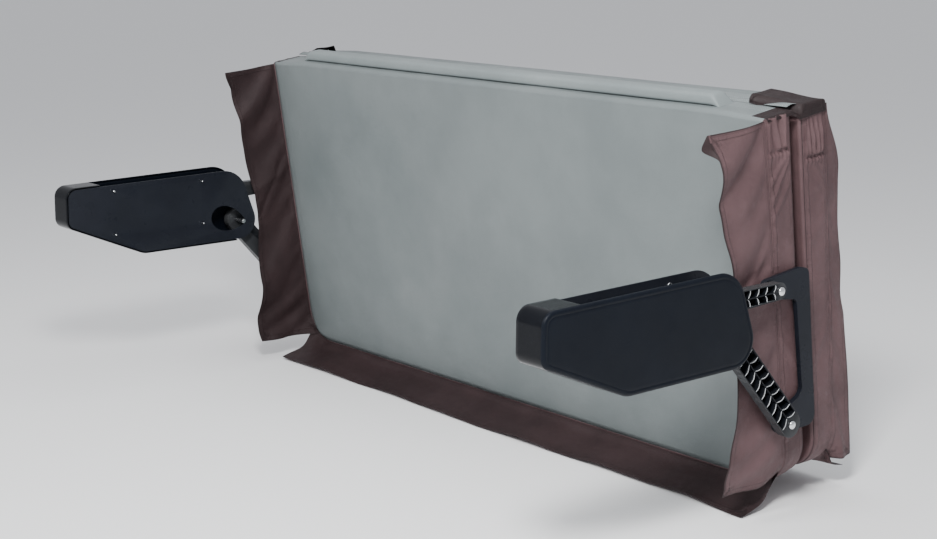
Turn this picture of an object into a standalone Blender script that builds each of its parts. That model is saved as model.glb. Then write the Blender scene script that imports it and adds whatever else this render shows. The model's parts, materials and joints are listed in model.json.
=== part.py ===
"""Two-half spa cover stored upright on a side-mounted linkage lifter.

Axes: X along the cover's length (right-hand end +X), Y away from the tub,
Z up.  The origin is the middle of the upper links' ground axis, halfway
between the two tub walls that the lifter is screwed to.
"""
import math

import bpy
from mathutils import Vector
from mathutils.geometry import delaunay_2d_cdt

for _ob in list(bpy.data.objects):
    bpy.data.objects.remove(_ob, do_unlink=True)

# ---------------------------------------------------------------- sizes (m)
GAP = 0.0004                    # running clearance between touching pieces

# cover halves
HALF_LEN = 1.105                # hinge end to outer edge
END_X = 1.185                   # half of the cover's length
T_HINGE, T_EDGE = 0.1141, 0.0889
SKIN = 0.0012
CORNER_R = 0.115                # outer corners, seen from above
LEAN = math.radians(8.41)       # underside of the rear half, from upright
TAPER = math.atan2(T_HINGE - T_EDGE, HALF_LEN)
CORNER = (0.4033, 0.4877)       # rear half: hinge end, underside
FOLD_GAP = 0.034                # between the two top skins when folded
HINGE_RISE = 0.020              # hinge line above the hinge ends
FLAP_T = 0.0015
FLAP_LAP = 0.014                # flap's overlap on the band
FLAP_TOP, FLAP_END = 0.060, 1.095
REAR_FLAP = ((FLAP_TOP, 0.139), (0.305, 0.139), (0.525, 0.139),
             (0.585, 0.185), (0.845, 0.185), (FLAP_END, 0.185))
FRONT_FLAP = ((FLAP_TOP, 0.030), (0.185, 0.060), (0.625, 0.072),
              (FLAP_END, 0.085))
BAR_H, BAR_T = 0.036, (0.030, 0.100)
BAR_X = (-1.03, 1.00)
BAR_BEVEL = 0.030
STRIP_RISE, STRIP_T = 0.0225, 0.0012
TONGUE_X = 1.045                # inner edge of the end tongues

# lifter
WALL_X = 1.170
PLATE_T = 0.004
SHELL_X = 1.270
LINK_X = (1.220, 1.250)
CARRIER_X = (1.195, 1.211)
UP_GROUND = (0.0, 0.0)
UP_PIN = (0.426, 0.010)
LOW_PIN = (0.495, -0.386)
LOW_GUIDE = (0.2422, -0.1054)
CELL_WALL = 0.0015              # half of a rib between two link pockets
TUBE_R, TUBE_WALL = 0.0127, 0.0016
TUBE_S = (0.500, 0.885)         # cross tubes, below the fold's corner
PIN_HOLE = 0.0084
SCREW_HOLE = 0.0036
SCREWS = ((-0.30, 0.066), (0.06, 0.066), (0.06, -0.090), (-0.30, -0.090))
GAS_Y0, GAS_X = -0.440, 1.2578  # closed end of the gas spring
CRANK = 0.024                   # radius of the gas spring's crank pin
SWING_UP = 152.175              # turns between stored and flat on the tub,
SWING_LOW = 173.93              # all counted from the ground
TILT = 81.6


# ---------------------------------------------------------------- helpers
def circle(c, r, n=24, a0=0.0):
    return [(c[0] + r * math.cos(a0 + 2 * math.pi * k / n),
             c[1] + r * math.sin(a0 + 2 * math.pi * k / n)) for k in range(n)]


def rounded(points, radii, n=6):
    """Polygon with its corners rounded."""
    out = []
    m = len(points)
    for i, (p, r) in enumerate(zip(points, radii)):
        if r == 0:
            out.append(p)
            continue
        a, b = points[i - 1], points[(i + 1) % m]
        ua = (a[0] - p[0], a[1] - p[1])
        ub = (b[0] - p[0], b[1] - p[1])
        la, lb = math.hypot(*ua), math.hypot(*ub)
        ua = (ua[0] / la, ua[1] / la)
        ub = (ub[0] / lb, ub[1] / lb)
        ang = math.acos(max(-1, min(1, ua[0] * ub[0] + ua[1] * ub[1])))
        d = min(r / math.tan(ang / 2), 0.49 * la, 0.49 * lb)
        rr = d * math.tan(ang / 2)
        bis = (ua[0] + ub[0], ua[1] + ub[1])
        lbis = math.hypot(*bis)
        h = rr / math.sin(ang / 2)
        c = (p[0] + bis[0] / lbis * h, p[1] + bis[1] / lbis * h)
        p0 = (p[0] + ua[0] * d, p[1] + ua[1] * d)
        p1 = (p[0] + ub[0] * d, p[1] + ub[1] * d)
        t0 = math.atan2(p0[1] - c[1], p0[0] - c[0])
        t1 = math.atan2(p1[1] - c[1], p1[0] - c[0])
        dt = (t1 - t0 + math.pi) % (2 * math.pi) - math.pi
        for k in range(n + 1):
            t = t0 + dt * k / n
            out.append((c[0] + rr * math.cos(t), c[1] + rr * math.sin(t)))
    return out


def signed_area(loop):
    return 0.5 * sum(a[0] * b[1] - b[0] * a[1]
                     for a, b in zip(loop, loop[1:] + loop[:1]))


def inset(loop, d):
    """Move a loop inward by d."""
    sgn = 1 if signed_area(loop) > 0 else -1
    out = []
    m = len(loop)
    for i in range(m):
        a, p, b = loop[i - 1], loop[i], loop[(i + 1) % m]
        n1 = (-(p[1] - a[1]), p[0] - a[0])
        n2 = (-(b[1] - p[1]), b[0] - p[0])
        l1, l2 = math.hypot(*n1), math.hypot(*n2)
        n1 = (n1[0] / l1, n1[1] / l1)
        n2 = (n2[0] / l2, n2[1] / l2)
        s = (n1[0] + n2[0], n1[1] + n2[1])
        k = 1 + n1[0] * n2[0] + n1[1] * n2[1]
        out.append((p[0] + sgn * d * s[0] / k, p[1] + sgn * d * s[1] / k))
    return out


def hull(points):
    pts = sorted(set(points))

    def half(seq):
        h = []
        for p in seq:
            while len(h) > 1 and ((h[-1][0] - h[-2][0]) * (p[1] - h[-2][1])
                                  - (h[-1][1] - h[-2][1]) * (p[0] - h[-2][0])) <= 1e-9:
                h.pop()
            h.append(p)
        return h[:-1]
    return half(pts) + half(pts[::-1])


def inside(p, loop):
    odd = False
    for a, b in zip(loop, loop[1:] + loop[:1]):
        if (a[1] > p[1]) != (b[1] > p[1]) and \
                p[0] < a[0] + (b[0] - a[0]) * (p[1] - a[1]) / (b[1] - a[1]):
            odd = not odd
    return odd


def caps(loops, idx):
    """Triangles that fill the first loop and leave the others open."""
    pts, edges = [], []
    for lp in loops:
        i0, n = len(pts), len(lp)
        pts += [Vector(p) for p in lp]
        edges += [(i0 + k, i0 + (k + 1) % n) for k in range(n)]
    flat = [i for lp in idx for i in lp]
    out, _, tris, orig, _, _ = delaunay_2d_cdt(pts, edges, [], 0, 1e-7)
    back = [flat[o[0]] for o in orig]
    faces = []
    for t in tris:
        mid = [sum(out[k][a] for k in t) / 3 for a in (0, 1)]
        if inside(mid, loops[0]) and not any(inside(mid, h) for h in loops[1:]):
            faces.append(tuple(back[k] for k in t))
    return faces


def slab(name, side, outer, x0, x1, holes=(), pockets=(), floor=None):
    """Plate in the YZ plane from x0 (inner) to x1 (outer) with through holes
    and, on its outer face, blind pockets down to floor."""
    v, f = [], []

    def ring(loop, x):
        i0 = len(v)
        v.extend((side * x, p[0], p[1]) for p in loop)
        return list(range(i0, len(v)))

    def wall(a, b):
        m = len(a)
        for k in range(m):
            f.append((a[k], a[(k + 1) % m], b[(k + 1) % m], b[k]))

    o0, o1 = ring(outer, x0), ring(outer, x1)
    h0 = [ring(h, x0) for h in holes]
    h1 = [ring(h, x1) for h in holes]
    p1 = [ring(p, x1) for p in pockets]
    pf = [ring(p, floor) for p in pockets]
    wall(o0, o1)
    for a, b in zip(h0, h1):
        wall(b, a)
    for a, b in zip(p1, pf):
        wall(a, b)
    f += [t[::-1] for t in caps([outer, *holes], [o0, *h0])]
    f += caps([outer, *holes, *pockets], [o1, *h1, *p1])
    for p, i in zip(pockets, pf):
        f += caps([p], [i])
    return oriented(name, v, f)


def oriented(name, v, f):
    """Make one closed body with consistent outward faces."""
    import bmesh
    bm = bmesh.new()
    bv = [bm.verts.new(p) for p in v]
    for q in f:
        bm.faces.new([bv[i] for i in q])
    bmesh.ops.recalc_face_normals(bm, faces=bm.faces)
    me = bpy.data.meshes.new(name)
    bm.to_mesh(me)
    bm.free()
    ob = bpy.data.objects.new(name, me)
    bpy.context.collection.objects.link(ob)
    return ob


def cells(name, xs, us, ws, solid, place):
    """One body from the filled cells of an uneven grid.  place maps
    (x, u, w) to a point."""
    idx, v, f = {}, [], []

    def vid(i, j, k):
        if (i, j, k) not in idx:
            idx[i, j, k] = len(v)
            v.append(place(xs[i], us[j], ws[k]))
        return idx[i, j, k]

    full = {(i, j, k) for i in range(len(xs) - 1) for j in range(len(us) - 1)
            for k in range(len(ws) - 1) if solid(i, j, k)}
    for (i, j, k) in full:
        for axis in range(3):
            for step in (0, 1):
                n = [i, j, k]
                n[axis] += 1 if step else -1
                if tuple(n) in full:
                    continue
                q = []
                a, b = [x for x in range(3) if x != axis]
                for da, db in ((0, 0), (1, 0), (1, 1), (0, 1)):
                    c = [i, j, k]
                    c[axis] += step
                    c[a] += da
                    c[b] += db
                    q.append(vid(*c))
                f.append(tuple(q))
    return oriented(name, v, f)


def tray(name, loop, inner, last, outer_at, floor_at, rim_at):
    """Plate over loop with a wall along its points 0 to last.  inner is the
    loop moved inward by the wall's thickness.  outer_at, floor_at and rim_at
    place a point on the plate's outer face, on its inner face and on the
    wall's free edge."""
    n = len(loop)
    v, f, idx = [], [], {}

    def vid(kind, i):
        if (kind, i) not in idx:
            idx[kind, i] = len(v)
            pts = inner if kind[0] == "i" else loop
            at = {"outer": outer_at, "floor": floor_at, "rim": rim_at}[kind[1:]]
            v.append(at(pts[i]))
        return idx[kind, i]

    f += caps([loop], [[vid("oouter", i) for i in range(n)]])
    for i in range(n):
        j = (i + 1) % n
        if i >= last:
            f.append((vid("oouter", i), vid("oouter", j),
                      vid("ofloor", j), vid("ofloor", i)))
            continue
        q = [vid("oouter", i), vid("oouter", j)]
        if j == last:
            q.append(vid("ofloor", j))
        q += [vid("orim", j), vid("orim", i)]
        if i == 0:
            q.append(vid("ofloor", i))
        f.append(tuple(q))
        for a, b in (("orim", "irim"), ("irim", "ifloor")):
            f.append((vid(a, i), vid(a, j), vid(b, j), vid(b, i)))
    for i in (0, last):
        f.append((vid("ofloor", i), vid("orim", i), vid("irim", i), vid("ifloor", i)))
    pts = [loop[0], *inner[:last + 1], *loop[last:]]
    ids = [vid("ofloor", 0), *(vid("ifloor", i) for i in range(last + 1)),
           *(vid("ofloor", i) for i in range(last, n))]
    f += caps([pts], [ids])
    return oriented(name, v, f)


def turned(name, axis_yz, prof, n=24, side=1):
    """Body of revolution about a line along X through axis_yz.  prof is a
    closed loop of (x, r); a point with r = 0 lies on the axis."""
    v, f, rings = [], [], []
    for x, r in prof:
        if r == 0:
            rings.append([len(v)])
            v.append((side * x, axis_yz[0], axis_yz[1]))
        else:
            rings.append(list(range(len(v), len(v) + n)))
            v.extend((side * x, axis_yz[0] + r * math.cos(2 * math.pi * k / n),
                      axis_yz[1] + r * math.sin(2 * math.pi * k / n))
                     for k in range(n))
    m = len(rings)
    for i in range(m):
        a, b = rings[i], rings[(i + 1) % m]
        if len(a) == 1 and len(b) == 1:
            continue
        for k in range(n):
            k2 = (k + 1) % n
            if len(a) == 1:
                f.append((a[0], b[k2], b[k]))
            elif len(b) == 1:
                f.append((a[k], a[k2], b[0]))
            else:
                f.append((a[k], a[k2], b[k2], b[k]))
    return oriented(name, v, f)


def rot(p, deg):
    a = math.radians(deg)
    return (p[0] * math.cos(a) - p[1] * math.sin(a),
            p[0] * math.sin(a) + p[1] * math.cos(a))


# ------------------------------------------------------- cover coordinates
DOWN = (math.sin(LEAN), -math.cos(LEAN))        # along the underside, down
OUT = (math.cos(LEAN), math.sin(LEAN))          # underside to top skin
SKIN_CORNER = (CORNER[0] + T_HINGE * OUT[0], CORNER[1] + T_HINGE * OUT[1])
S_DOWN = (math.sin(LEAN - TAPER), -math.cos(LEAN - TAPER))
S_OUT = (math.cos(LEAN - TAPER), math.sin(LEAN - TAPER))
HINGE = tuple(SKIN_CORNER[i] + FOLD_GAP / 2 * S_OUT[i] - HINGE_RISE * S_DOWN[i]
              for i in (0, 1))


def thick(s):
    return T_HINGE - (T_HINGE - T_EDGE) * s / HALF_LEN


def rear(s, t):
    """Rear half: s down from the hinge end, t from underside to top skin."""
    return (CORNER[0] + s * DOWN[0] + t * OUT[0],
            CORNER[1] + s * DOWN[1] + t * OUT[1])


def front(s, t):
    """Front half: mirror image of the rear half in the middle of the fold."""
    p = rear(s, t)
    d = ((p[0] - HINGE[0]) * S_OUT[0] + (p[1] - HINGE[1]) * S_OUT[1])
    return (p[0] - 2 * d * S_OUT[0], p[1] - 2 * d * S_OUT[1])


def in_fold(s):
    """Point in the middle of the fold, s below the fold's corner."""
    return tuple(SKIN_CORNER[i] + FOLD_GAP / 2 * S_OUT[i] + s * S_DOWN[i]
                 for i in (0, 1))


# ------------------------------------------------------------ cover halves
def half(tag, at, profile):
    def place(x, s, t):
        y, z = at(s, t)
        return (x, y, z)

    def every(i, j, m):
        return True

    e, k = END_X, SKIN
    c = k + GAP

    def plan(d):
        """Outline in (x, s), moved inward by d, from the right hinge corner."""
        r = CORNER_R - d
        return rounded([(e - d, 0.0), (e - d, HALF_LEN - d),
                        (-e + d, HALF_LEN - d), (-e + d, 0.0)], [0, r, r, 0], 8)

    def sheet(name, loop, low, high):
        """Solid between two surfaces t = low(s) and t = high(s) over loop."""
        n = len(loop)
        v = [place(x, s, low(s)) for x, s in loop]
        v += [place(x, s, high(s)) for x, s in loop]
        f = [(q, (q + 1) % n, n + (q + 1) % n, n + q) for q in range(n)]
        f += caps([loop], [list(range(n))]) + caps([loop], [list(range(n, 2 * n))])
        oriented(name, v, f)

    # brown top skin: top face, outer edge and both end bands
    outer = plan(0.0)
    wall_in = [(x, max(s, k / 2)) for x, s in plan(k)]
    tray(tag + "_top_skin", outer, wall_in, len(outer) - 1,
         lambda p: place(*p, thick(p[1])), lambda p: place(*p, thick(p[1]) - k),
         lambda p: place(*p, 0.0))
    # grey underside and grey hinge-end panel
    sheet(tag + "_underside", plan(c), lambda s: 0.0, lambda s: k)
    cells(tag + "_hinge_panel", [-e + c, e - c], [0.0, k],
          [k + GAP, T_HINGE - c - 0.0015], every, place)
    # steel channel around the foam at the hinge end
    g = c + GAP
    cells(tag + "_steel_channel", [-e + 0.012, e - 0.012],
          [g, g + 0.0012, 0.042],
          [g, g + 0.0012, T_HINGE - 0.0052, T_HINGE - 0.0040],
          lambda i, j, m: j == 0 or m != 1, place)
    # foam core, stepped where the channel wraps it
    core = [(x, max(s, g + 0.0016)) for x, s in plan(g)]
    sheet(tag + "_foam_core", core, lambda s: 0.0034,
          lambda s: thick(s) - 0.0060)
    # skirt flaps sewn to the bands; profile lists (s, depth)
    depth = dict(profile)
    for side, nm in ((1, "right"), (-1, "left")):
        cells(tag + "_" + nm + "_flap", [e + GAP, e + GAP + FLAP_T],
              [p[0] for p in profile], [0.0, 1.0], every,
              lambda x, s, w, side=side: place(
                  side * x, s, FLAP_LAP - w * (FLAP_LAP + depth[s])))
    cells(tag + "_outer_flap", [-e + 0.004, e - 0.004],
          [HALF_LEN + GAP, HALF_LEN + GAP + FLAP_T],
          [-profile[-1][1] + 0.02, FLAP_LAP], every, place)
    # webbing grab handle on the outer edge
    hx, tm = 0.11, thick(HALF_LEN) * 0.62
    s0 = HALF_LEN + 0.0024
    cells(tag + "_grab_handle", [-hx, -hx + 0.030, hx - 0.030, hx],
          [s0, s0 + 0.002, s0 + 0.018, s0 + 0.020], [tm - 0.019, tm + 0.019],
          lambda i, j, m: i != 1 or j == 2, place)


def heat_seal_bar():
    """Grey foam-filled bar that seals the fold when the cover is flat."""
    t0, t1 = BAR_T
    prof = [(t0, 0.0), (t0 + 0.003, -BAR_H + 0.006), (t0 + 0.010, -BAR_H),
            (t1 - 0.012, -BAR_H), (t1, 0.0)]
    stops = ((BAR_X[0], 0.25), (BAR_X[0] + BAR_BEVEL, 1.0),
             (BAR_X[1] - BAR_BEVEL, 1.0), (BAR_X[1], 0.25))
    v = [(x, *rear(-GAP + s * full, t)) for x, full in stops for t, s in prof]
    m = len(prof)
    f = [tuple(range(m)), tuple(range(3 * m, 4 * m))]
    for q in range(3):
        for k in range(m):
            a, b = q * m + k, q * m + (k + 1) % m
            f.append((a, b, b + m, a + m))
    oriented("heat_seal_bar", v, f)


def hinge_strip():
    """Fabric strip that joins the two halves along the hinge line."""
    edge_t = T_HINGE - 0.004
    pa, pb = rear(-GAP, edge_t), front(-GAP, edge_t)
    up = (-S_DOWN[0], -S_DOWN[1])
    line = []
    for w in (0.0, 0.25, 0.5, 0.75, 1.0):
        h = STRIP_RISE * (1 - abs(2 * w - 1) ** 1.6)
        line.append(tuple(pa[i] + (pb[i] - pa[i]) * w + up[i] * h for i in (0, 1)))
    v = []
    for x in (-END_X + 0.01, END_X - 0.01):
        for rise in (0.0, STRIP_T):
            v += [(x, y + up[0] * rise, z + up[1] * rise) for y, z in line]
    n = len(line)
    f = [(0, n, 3 * n, 2 * n), (n - 1, 2 * n - 1, 4 * n - 1, 3 * n - 1)]
    for k in range(n - 1):
        f.append((k, k + 1, n + k + 1, n + k))
        f.append((2 * n + k, 2 * n + k + 1, 3 * n + k + 1, 3 * n + k))
        f.append((k, k + 1, 2 * n + k + 1, 2 * n + k))
        f.append((n + k, n + k + 1, 3 * n + k + 1, 3 * n + k))
    oriented("hinge_strip", v, f)


def end_tongue(side, nm):
    """Tongue of the front half's end band, folded over the hinge end."""
    cells("front_" + nm + "_end_tongue", [TONGUE_X, END_X - 0.002],
          [-0.0022, -GAP - 0.0002], [0.004, T_HINGE - 0.012],
          lambda i, j, m: True,
          lambda x, s, t: (side * x, *front(s, t)))


# --------------------------------------------------------- lifter, per side
PLATE = rounded([(0.396, 0.034), (0.560, 0.054), (0.594, 0.046),
                 (0.652, -0.420), (0.476, -0.424), (0.464, -0.352),
                 (0.536, -0.342), (0.588, -0.318), (0.545, -0.036),
                 (0.398, -0.020)],
                [0.024, 0.04, 0.020, 0.030, 0.034, 0.030, 0.03, 0.030, 0.022,
                 0.022], 5)
HOUSING = rounded([(-0.478, 0.089), (0.232, 0.099), (0.330, -0.175),
                   (-0.185, -0.175), (-0.480, -0.048)],
                  [0.040, 0.105, 0.075, 0.085, 0.034], 10)
CRANK_PIN = rot((0.0, CRANK), -SWING_UP / 2)
GAS_Z = (CRANK_PIN[1] + CRANK) / 2


def cross_tube(nm, s):
    x = CARRIER_X[0] - GAP
    turned(nm + "_cross_tube", in_fold(s),
           [(-x, TUBE_R), (x, TUBE_R), (x, TUBE_R - TUBE_WALL),
            (-x, TUBE_R - TUBE_WALL)])


def has_wall(p):
    """The rim is open along the top slot and round the link end."""
    return p[0] < -0.345 or (p[1] < -0.12 and p[0] < 0.215) or \
        (p[1] < 0.06 and p[0] < -0.05)


def housing_shell(side, nm):
    """Moulded shell: face plate and a wall along the closed part of the rim."""
    first = next(i for i, p in enumerate(HOUSING)
                 if has_wall(p) and not has_wall(HOUSING[i - 1]))
    rim = HOUSING[first:] + HOUSING[:first]
    last = next(i for i, p in enumerate(rim) if not has_wall(p)) - 1
    wall = 0.004
    tray(nm + "_housing_shell", rim, inset(rim, wall), last,
         lambda p: (side * SHELL_X, *p), lambda p: (side * (SHELL_X - wall), *p),
         lambda p: (side * (WALL_X + 0.0006), *p))


def guide_path():
    """Inner end of a lower link while the cover swings, seen from the tub
    side; the links, the carrier and this end turn at even ratios."""
    arm = (LOW_PIN[0] - UP_PIN[0], LOW_PIN[1] - UP_PIN[1])
    tail = (LOW_GUIDE[0] - LOW_PIN[0], LOW_GUIDE[1] - LOW_PIN[1])
    pts = []
    for k in range(33):
        q = k / 32
        a = rot(UP_PIN, SWING_UP * q)
        b = rot(arm, TILT * q)
        c = rot(tail, SWING_LOW * q)
        pts.append((a[0] + b[0] + c[0], a[1] + b[1] + c[1]))
    return pts


def back_plate(side, nm):
    """Plate with the guide window and four wall-screw holes."""
    window = hull([p for c in guide_path() for p in circle(c, 0.0092, 16)])
    slab(nm + "_back_plate", side, inset(HOUSING, 0.0060), WALL_X,
         WALL_X + PLATE_T,
         holes=[window] + [circle(c, SCREW_HOLE, 20) for c in SCREWS])
    head = WALL_X + PLATE_T
    for k, c in enumerate(SCREWS):
        turned("%s_wall_screw_%d" % (nm, k + 1), c,
               [(WALL_X - 0.016, 0), (WALL_X - 0.014, 0.0030),
                (head + GAP, 0.0030), (head + GAP, 0.0080),
                (head + 0.003, 0.0068), (head + 0.0042, 0.0)], 20, side)


def beam(a, b, wa, wb, n=12):
    """Outline of a link with round ends."""
    ang = math.atan2(b[1] - a[1], b[0] - a[0])
    pts = []
    for k in range(n + 1):
        t = ang + math.pi / 2 + math.pi * k / n
        pts.append((a[0] + wa * math.cos(t), a[1] + wa * math.sin(t)))
    for k in range(n + 1):
        t = ang - math.pi / 2 + math.pi * k / n
        pts.append((b[0] + wb * math.cos(t), b[1] + wb * math.sin(t)))
    return pts


def chevrons(a, b, wa, wb, count, start, stop):
    """Two rows of chevron pockets along a link."""
    ux, uy = b[0] - a[0], b[1] - a[1]
    ln = math.hypot(ux, uy)
    ux, uy = ux / ln, uy / ln
    vx, vy = -uy, ux
    cell = (stop - start) / count
    out = []
    for k in range(count):
        u0 = start + k * cell
        w = (wa + (wb - wa) * (u0 + cell / 2) / ln) - 0.0045
        lean = 0.35 * w
        q = [(u0 + CELL_WALL, 0.0018), (u0 + cell - CELL_WALL, 0.0018),
             (u0 + cell - CELL_WALL + lean, w), (u0 + CELL_WALL + lean, w)]
        for s in (1, -1):
            out.append([(a[0] + p * ux + s * r * vx, a[1] + p * uy + s * r * vy)
                        for p, r in q])
    return out


def upper_link(side, nm):
    """Ribbed beam on a ground shaft, with a crank pin for the gas spring."""
    x0, x1 = LINK_X
    foot = WALL_X + PLATE_T + GAP
    turned(nm + "_ground_shaft", UP_GROUND,
           [(foot, 0), (foot, 0.020), (x0 - 0.004, 0.020), (x0 - 0.004, 0.012),
            (x1 + GAP, 0.012), (x1 + GAP, 0.016), (x1 + 0.0036, 0.0155),
            (x1 + 0.0036, 0)], 28, side)
    turned(nm + "_crank_pin", CRANK_PIN,
           [(x0 + 0.010, 0), (x0 + 0.010, 0.0036), (GAS_X + 0.0028, 0.0036),
            (GAS_X + 0.0028, 0)], 16, side)
    wa, wb = 0.034, 0.024
    slab(nm + "_upper_link", side, beam(UP_GROUND, UP_PIN, wa, wb), x0, x1,
         holes=[circle(UP_GROUND, 0.0124, 28), circle(UP_PIN, PIN_HOLE, 20),
                circle(CRANK_PIN, 0.0040, 16)],
         pockets=chevrons(UP_GROUND, UP_PIN, wa, wb, 10, 0.042, 0.396),
         floor=x0 + 0.006)


def lower_link(side, nm):
    """Ribbed beam, its inner end guided by a pin in the back plate."""
    x0, x1 = LINK_X
    w = 0.038
    slab(nm + "_lower_link", side, beam(LOW_GUIDE, LOW_PIN, w, w), x0, x1,
         holes=[circle(LOW_GUIDE, PIN_HOLE, 20), circle(LOW_PIN, PIN_HOLE, 20)],
         pockets=chevrons(LOW_GUIDE, LOW_PIN, w, w, 9, 0.022, 0.346),
         floor=x0 + 0.006)
    turned(nm + "_guide_pin", LOW_GUIDE,
           [(WALL_X + 0.0008, 0), (WALL_X + 0.0008, 0.0078),
            (x1 + GAP, 0.0078), (x1 + GAP, 0.0125),
            (x1 + 0.006, 0.0125), (x1 + 0.006, 0)], 20, side)


def carrier_plate(side, nm):
    """C-shaped plate between the two links, and its two bolts."""
    slab(nm + "_carrier_plate", side, PLATE, CARRIER_X[0], CARRIER_X[1],
         holes=[circle(UP_PIN, PIN_HOLE, 20), circle(LOW_PIN, PIN_HOLE, 20)])
    tip, under = CARRIER_X[0] + 0.0004, LINK_X[1]
    for tag, c in (("upper", UP_PIN), ("lower", LOW_PIN)):
        turned("%s_%s_bolt" % (nm, tag), c,
               [(tip, 0), (tip, 0.0080), (under + GAP, 0.0080),
                (under + GAP, 0.0150), (under + 0.0075, 0.0138),
                (under + 0.0095, 0.0090), (under + 0.0095, 0)], 20, side)


def along_y(name, side, prof, n=20):
    """Body of revolution about the gas spring's line; prof lists (y, r)."""
    v, f, rings = [], [], []
    for y, r in prof:
        if r == 0:
            rings.append([len(v)])
            v.append((side * GAS_X, y, GAS_Z))
        else:
            rings.append(list(range(len(v), len(v) + n)))
            v.extend((side * (GAS_X + r * math.cos(2 * math.pi * k / n)),
                      y, GAS_Z + r * math.sin(2 * math.pi * k / n))
                     for k in range(n))
    for a, b in zip(rings, rings[1:] + rings[:1]):
        if len(a) == 1 and len(b) == 1:
            continue
        for k in range(n):
            k2 = (k + 1) % n
            if len(a) == 1:
                f.append((a[0], b[k2], b[k]))
            elif len(b) == 1:
                f.append((a[k], a[k2], b[0]))
            else:
                f.append((a[k], a[k2], b[k2], b[k]))
    oriented(name, v, f)


def gas_spring(side, nm):
    """Spring along the long arm of the housing; its rod ends in a slotted
    yoke around the crank pin."""
    y0, yc = GAS_Y0, CRANK_PIN[0]
    body, rod, bore = 0.0072, 0.0030, 0.0034
    along_y(nm + "_gas_cylinder", side,
            [(y0, 0), (y0, body), (y0 + 0.300, body), (y0 + 0.306, body - 0.001),
             (y0 + 0.306, bore), (y0 + 0.100, bore), (y0 + 0.100, 0)])
    along_y(nm + "_gas_rod", side,
            [(y0 + 0.250, 0), (y0 + 0.250, rod), (yc - 0.0124, rod),
             (yc - 0.0124, 0)])

    def frame(half_y, half_z, r):
        return rounded([(yc - half_y, GAS_Z - half_z), (yc + half_y, GAS_Z - half_z),
                        (yc + half_y, GAS_Z + half_z), (yc - half_y, GAS_Z + half_z)],
                       [r] * 4, 4)

    slab(nm + "_gas_yoke", side, frame(0.012, 0.019, 0.006), GAS_X - 0.002,
         GAS_X + 0.002, holes=[frame(0.0076, 0.0137, 0.0055)])


# ------------------------------------------------------------------ assembly
half("rear", rear, REAR_FLAP)
half("front", front, FRONT_FLAP)
heat_seal_bar()
hinge_strip()
cross_tube("upper", TUBE_S[0])
cross_tube("lower", TUBE_S[1])
for _side, _nm in ((1, "right"), (-1, "left")):
    end_tongue(_side, _nm)
    back_plate(_side, _nm)
    housing_shell(_side, _nm)
    upper_link(_side, _nm)
    lower_link(_side, _nm)
    carrier_plate(_side, _nm)
    gas_spring(_side, _nm)
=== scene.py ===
"""Looks of the folded spa cover and its lifter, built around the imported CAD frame.

Cover coordinates: x along the cover, s down from the hinge end, t from the
underside to the top skin.  rear() and front() turn (x, s, t) into the row frame.
"""
import json
import math

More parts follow.
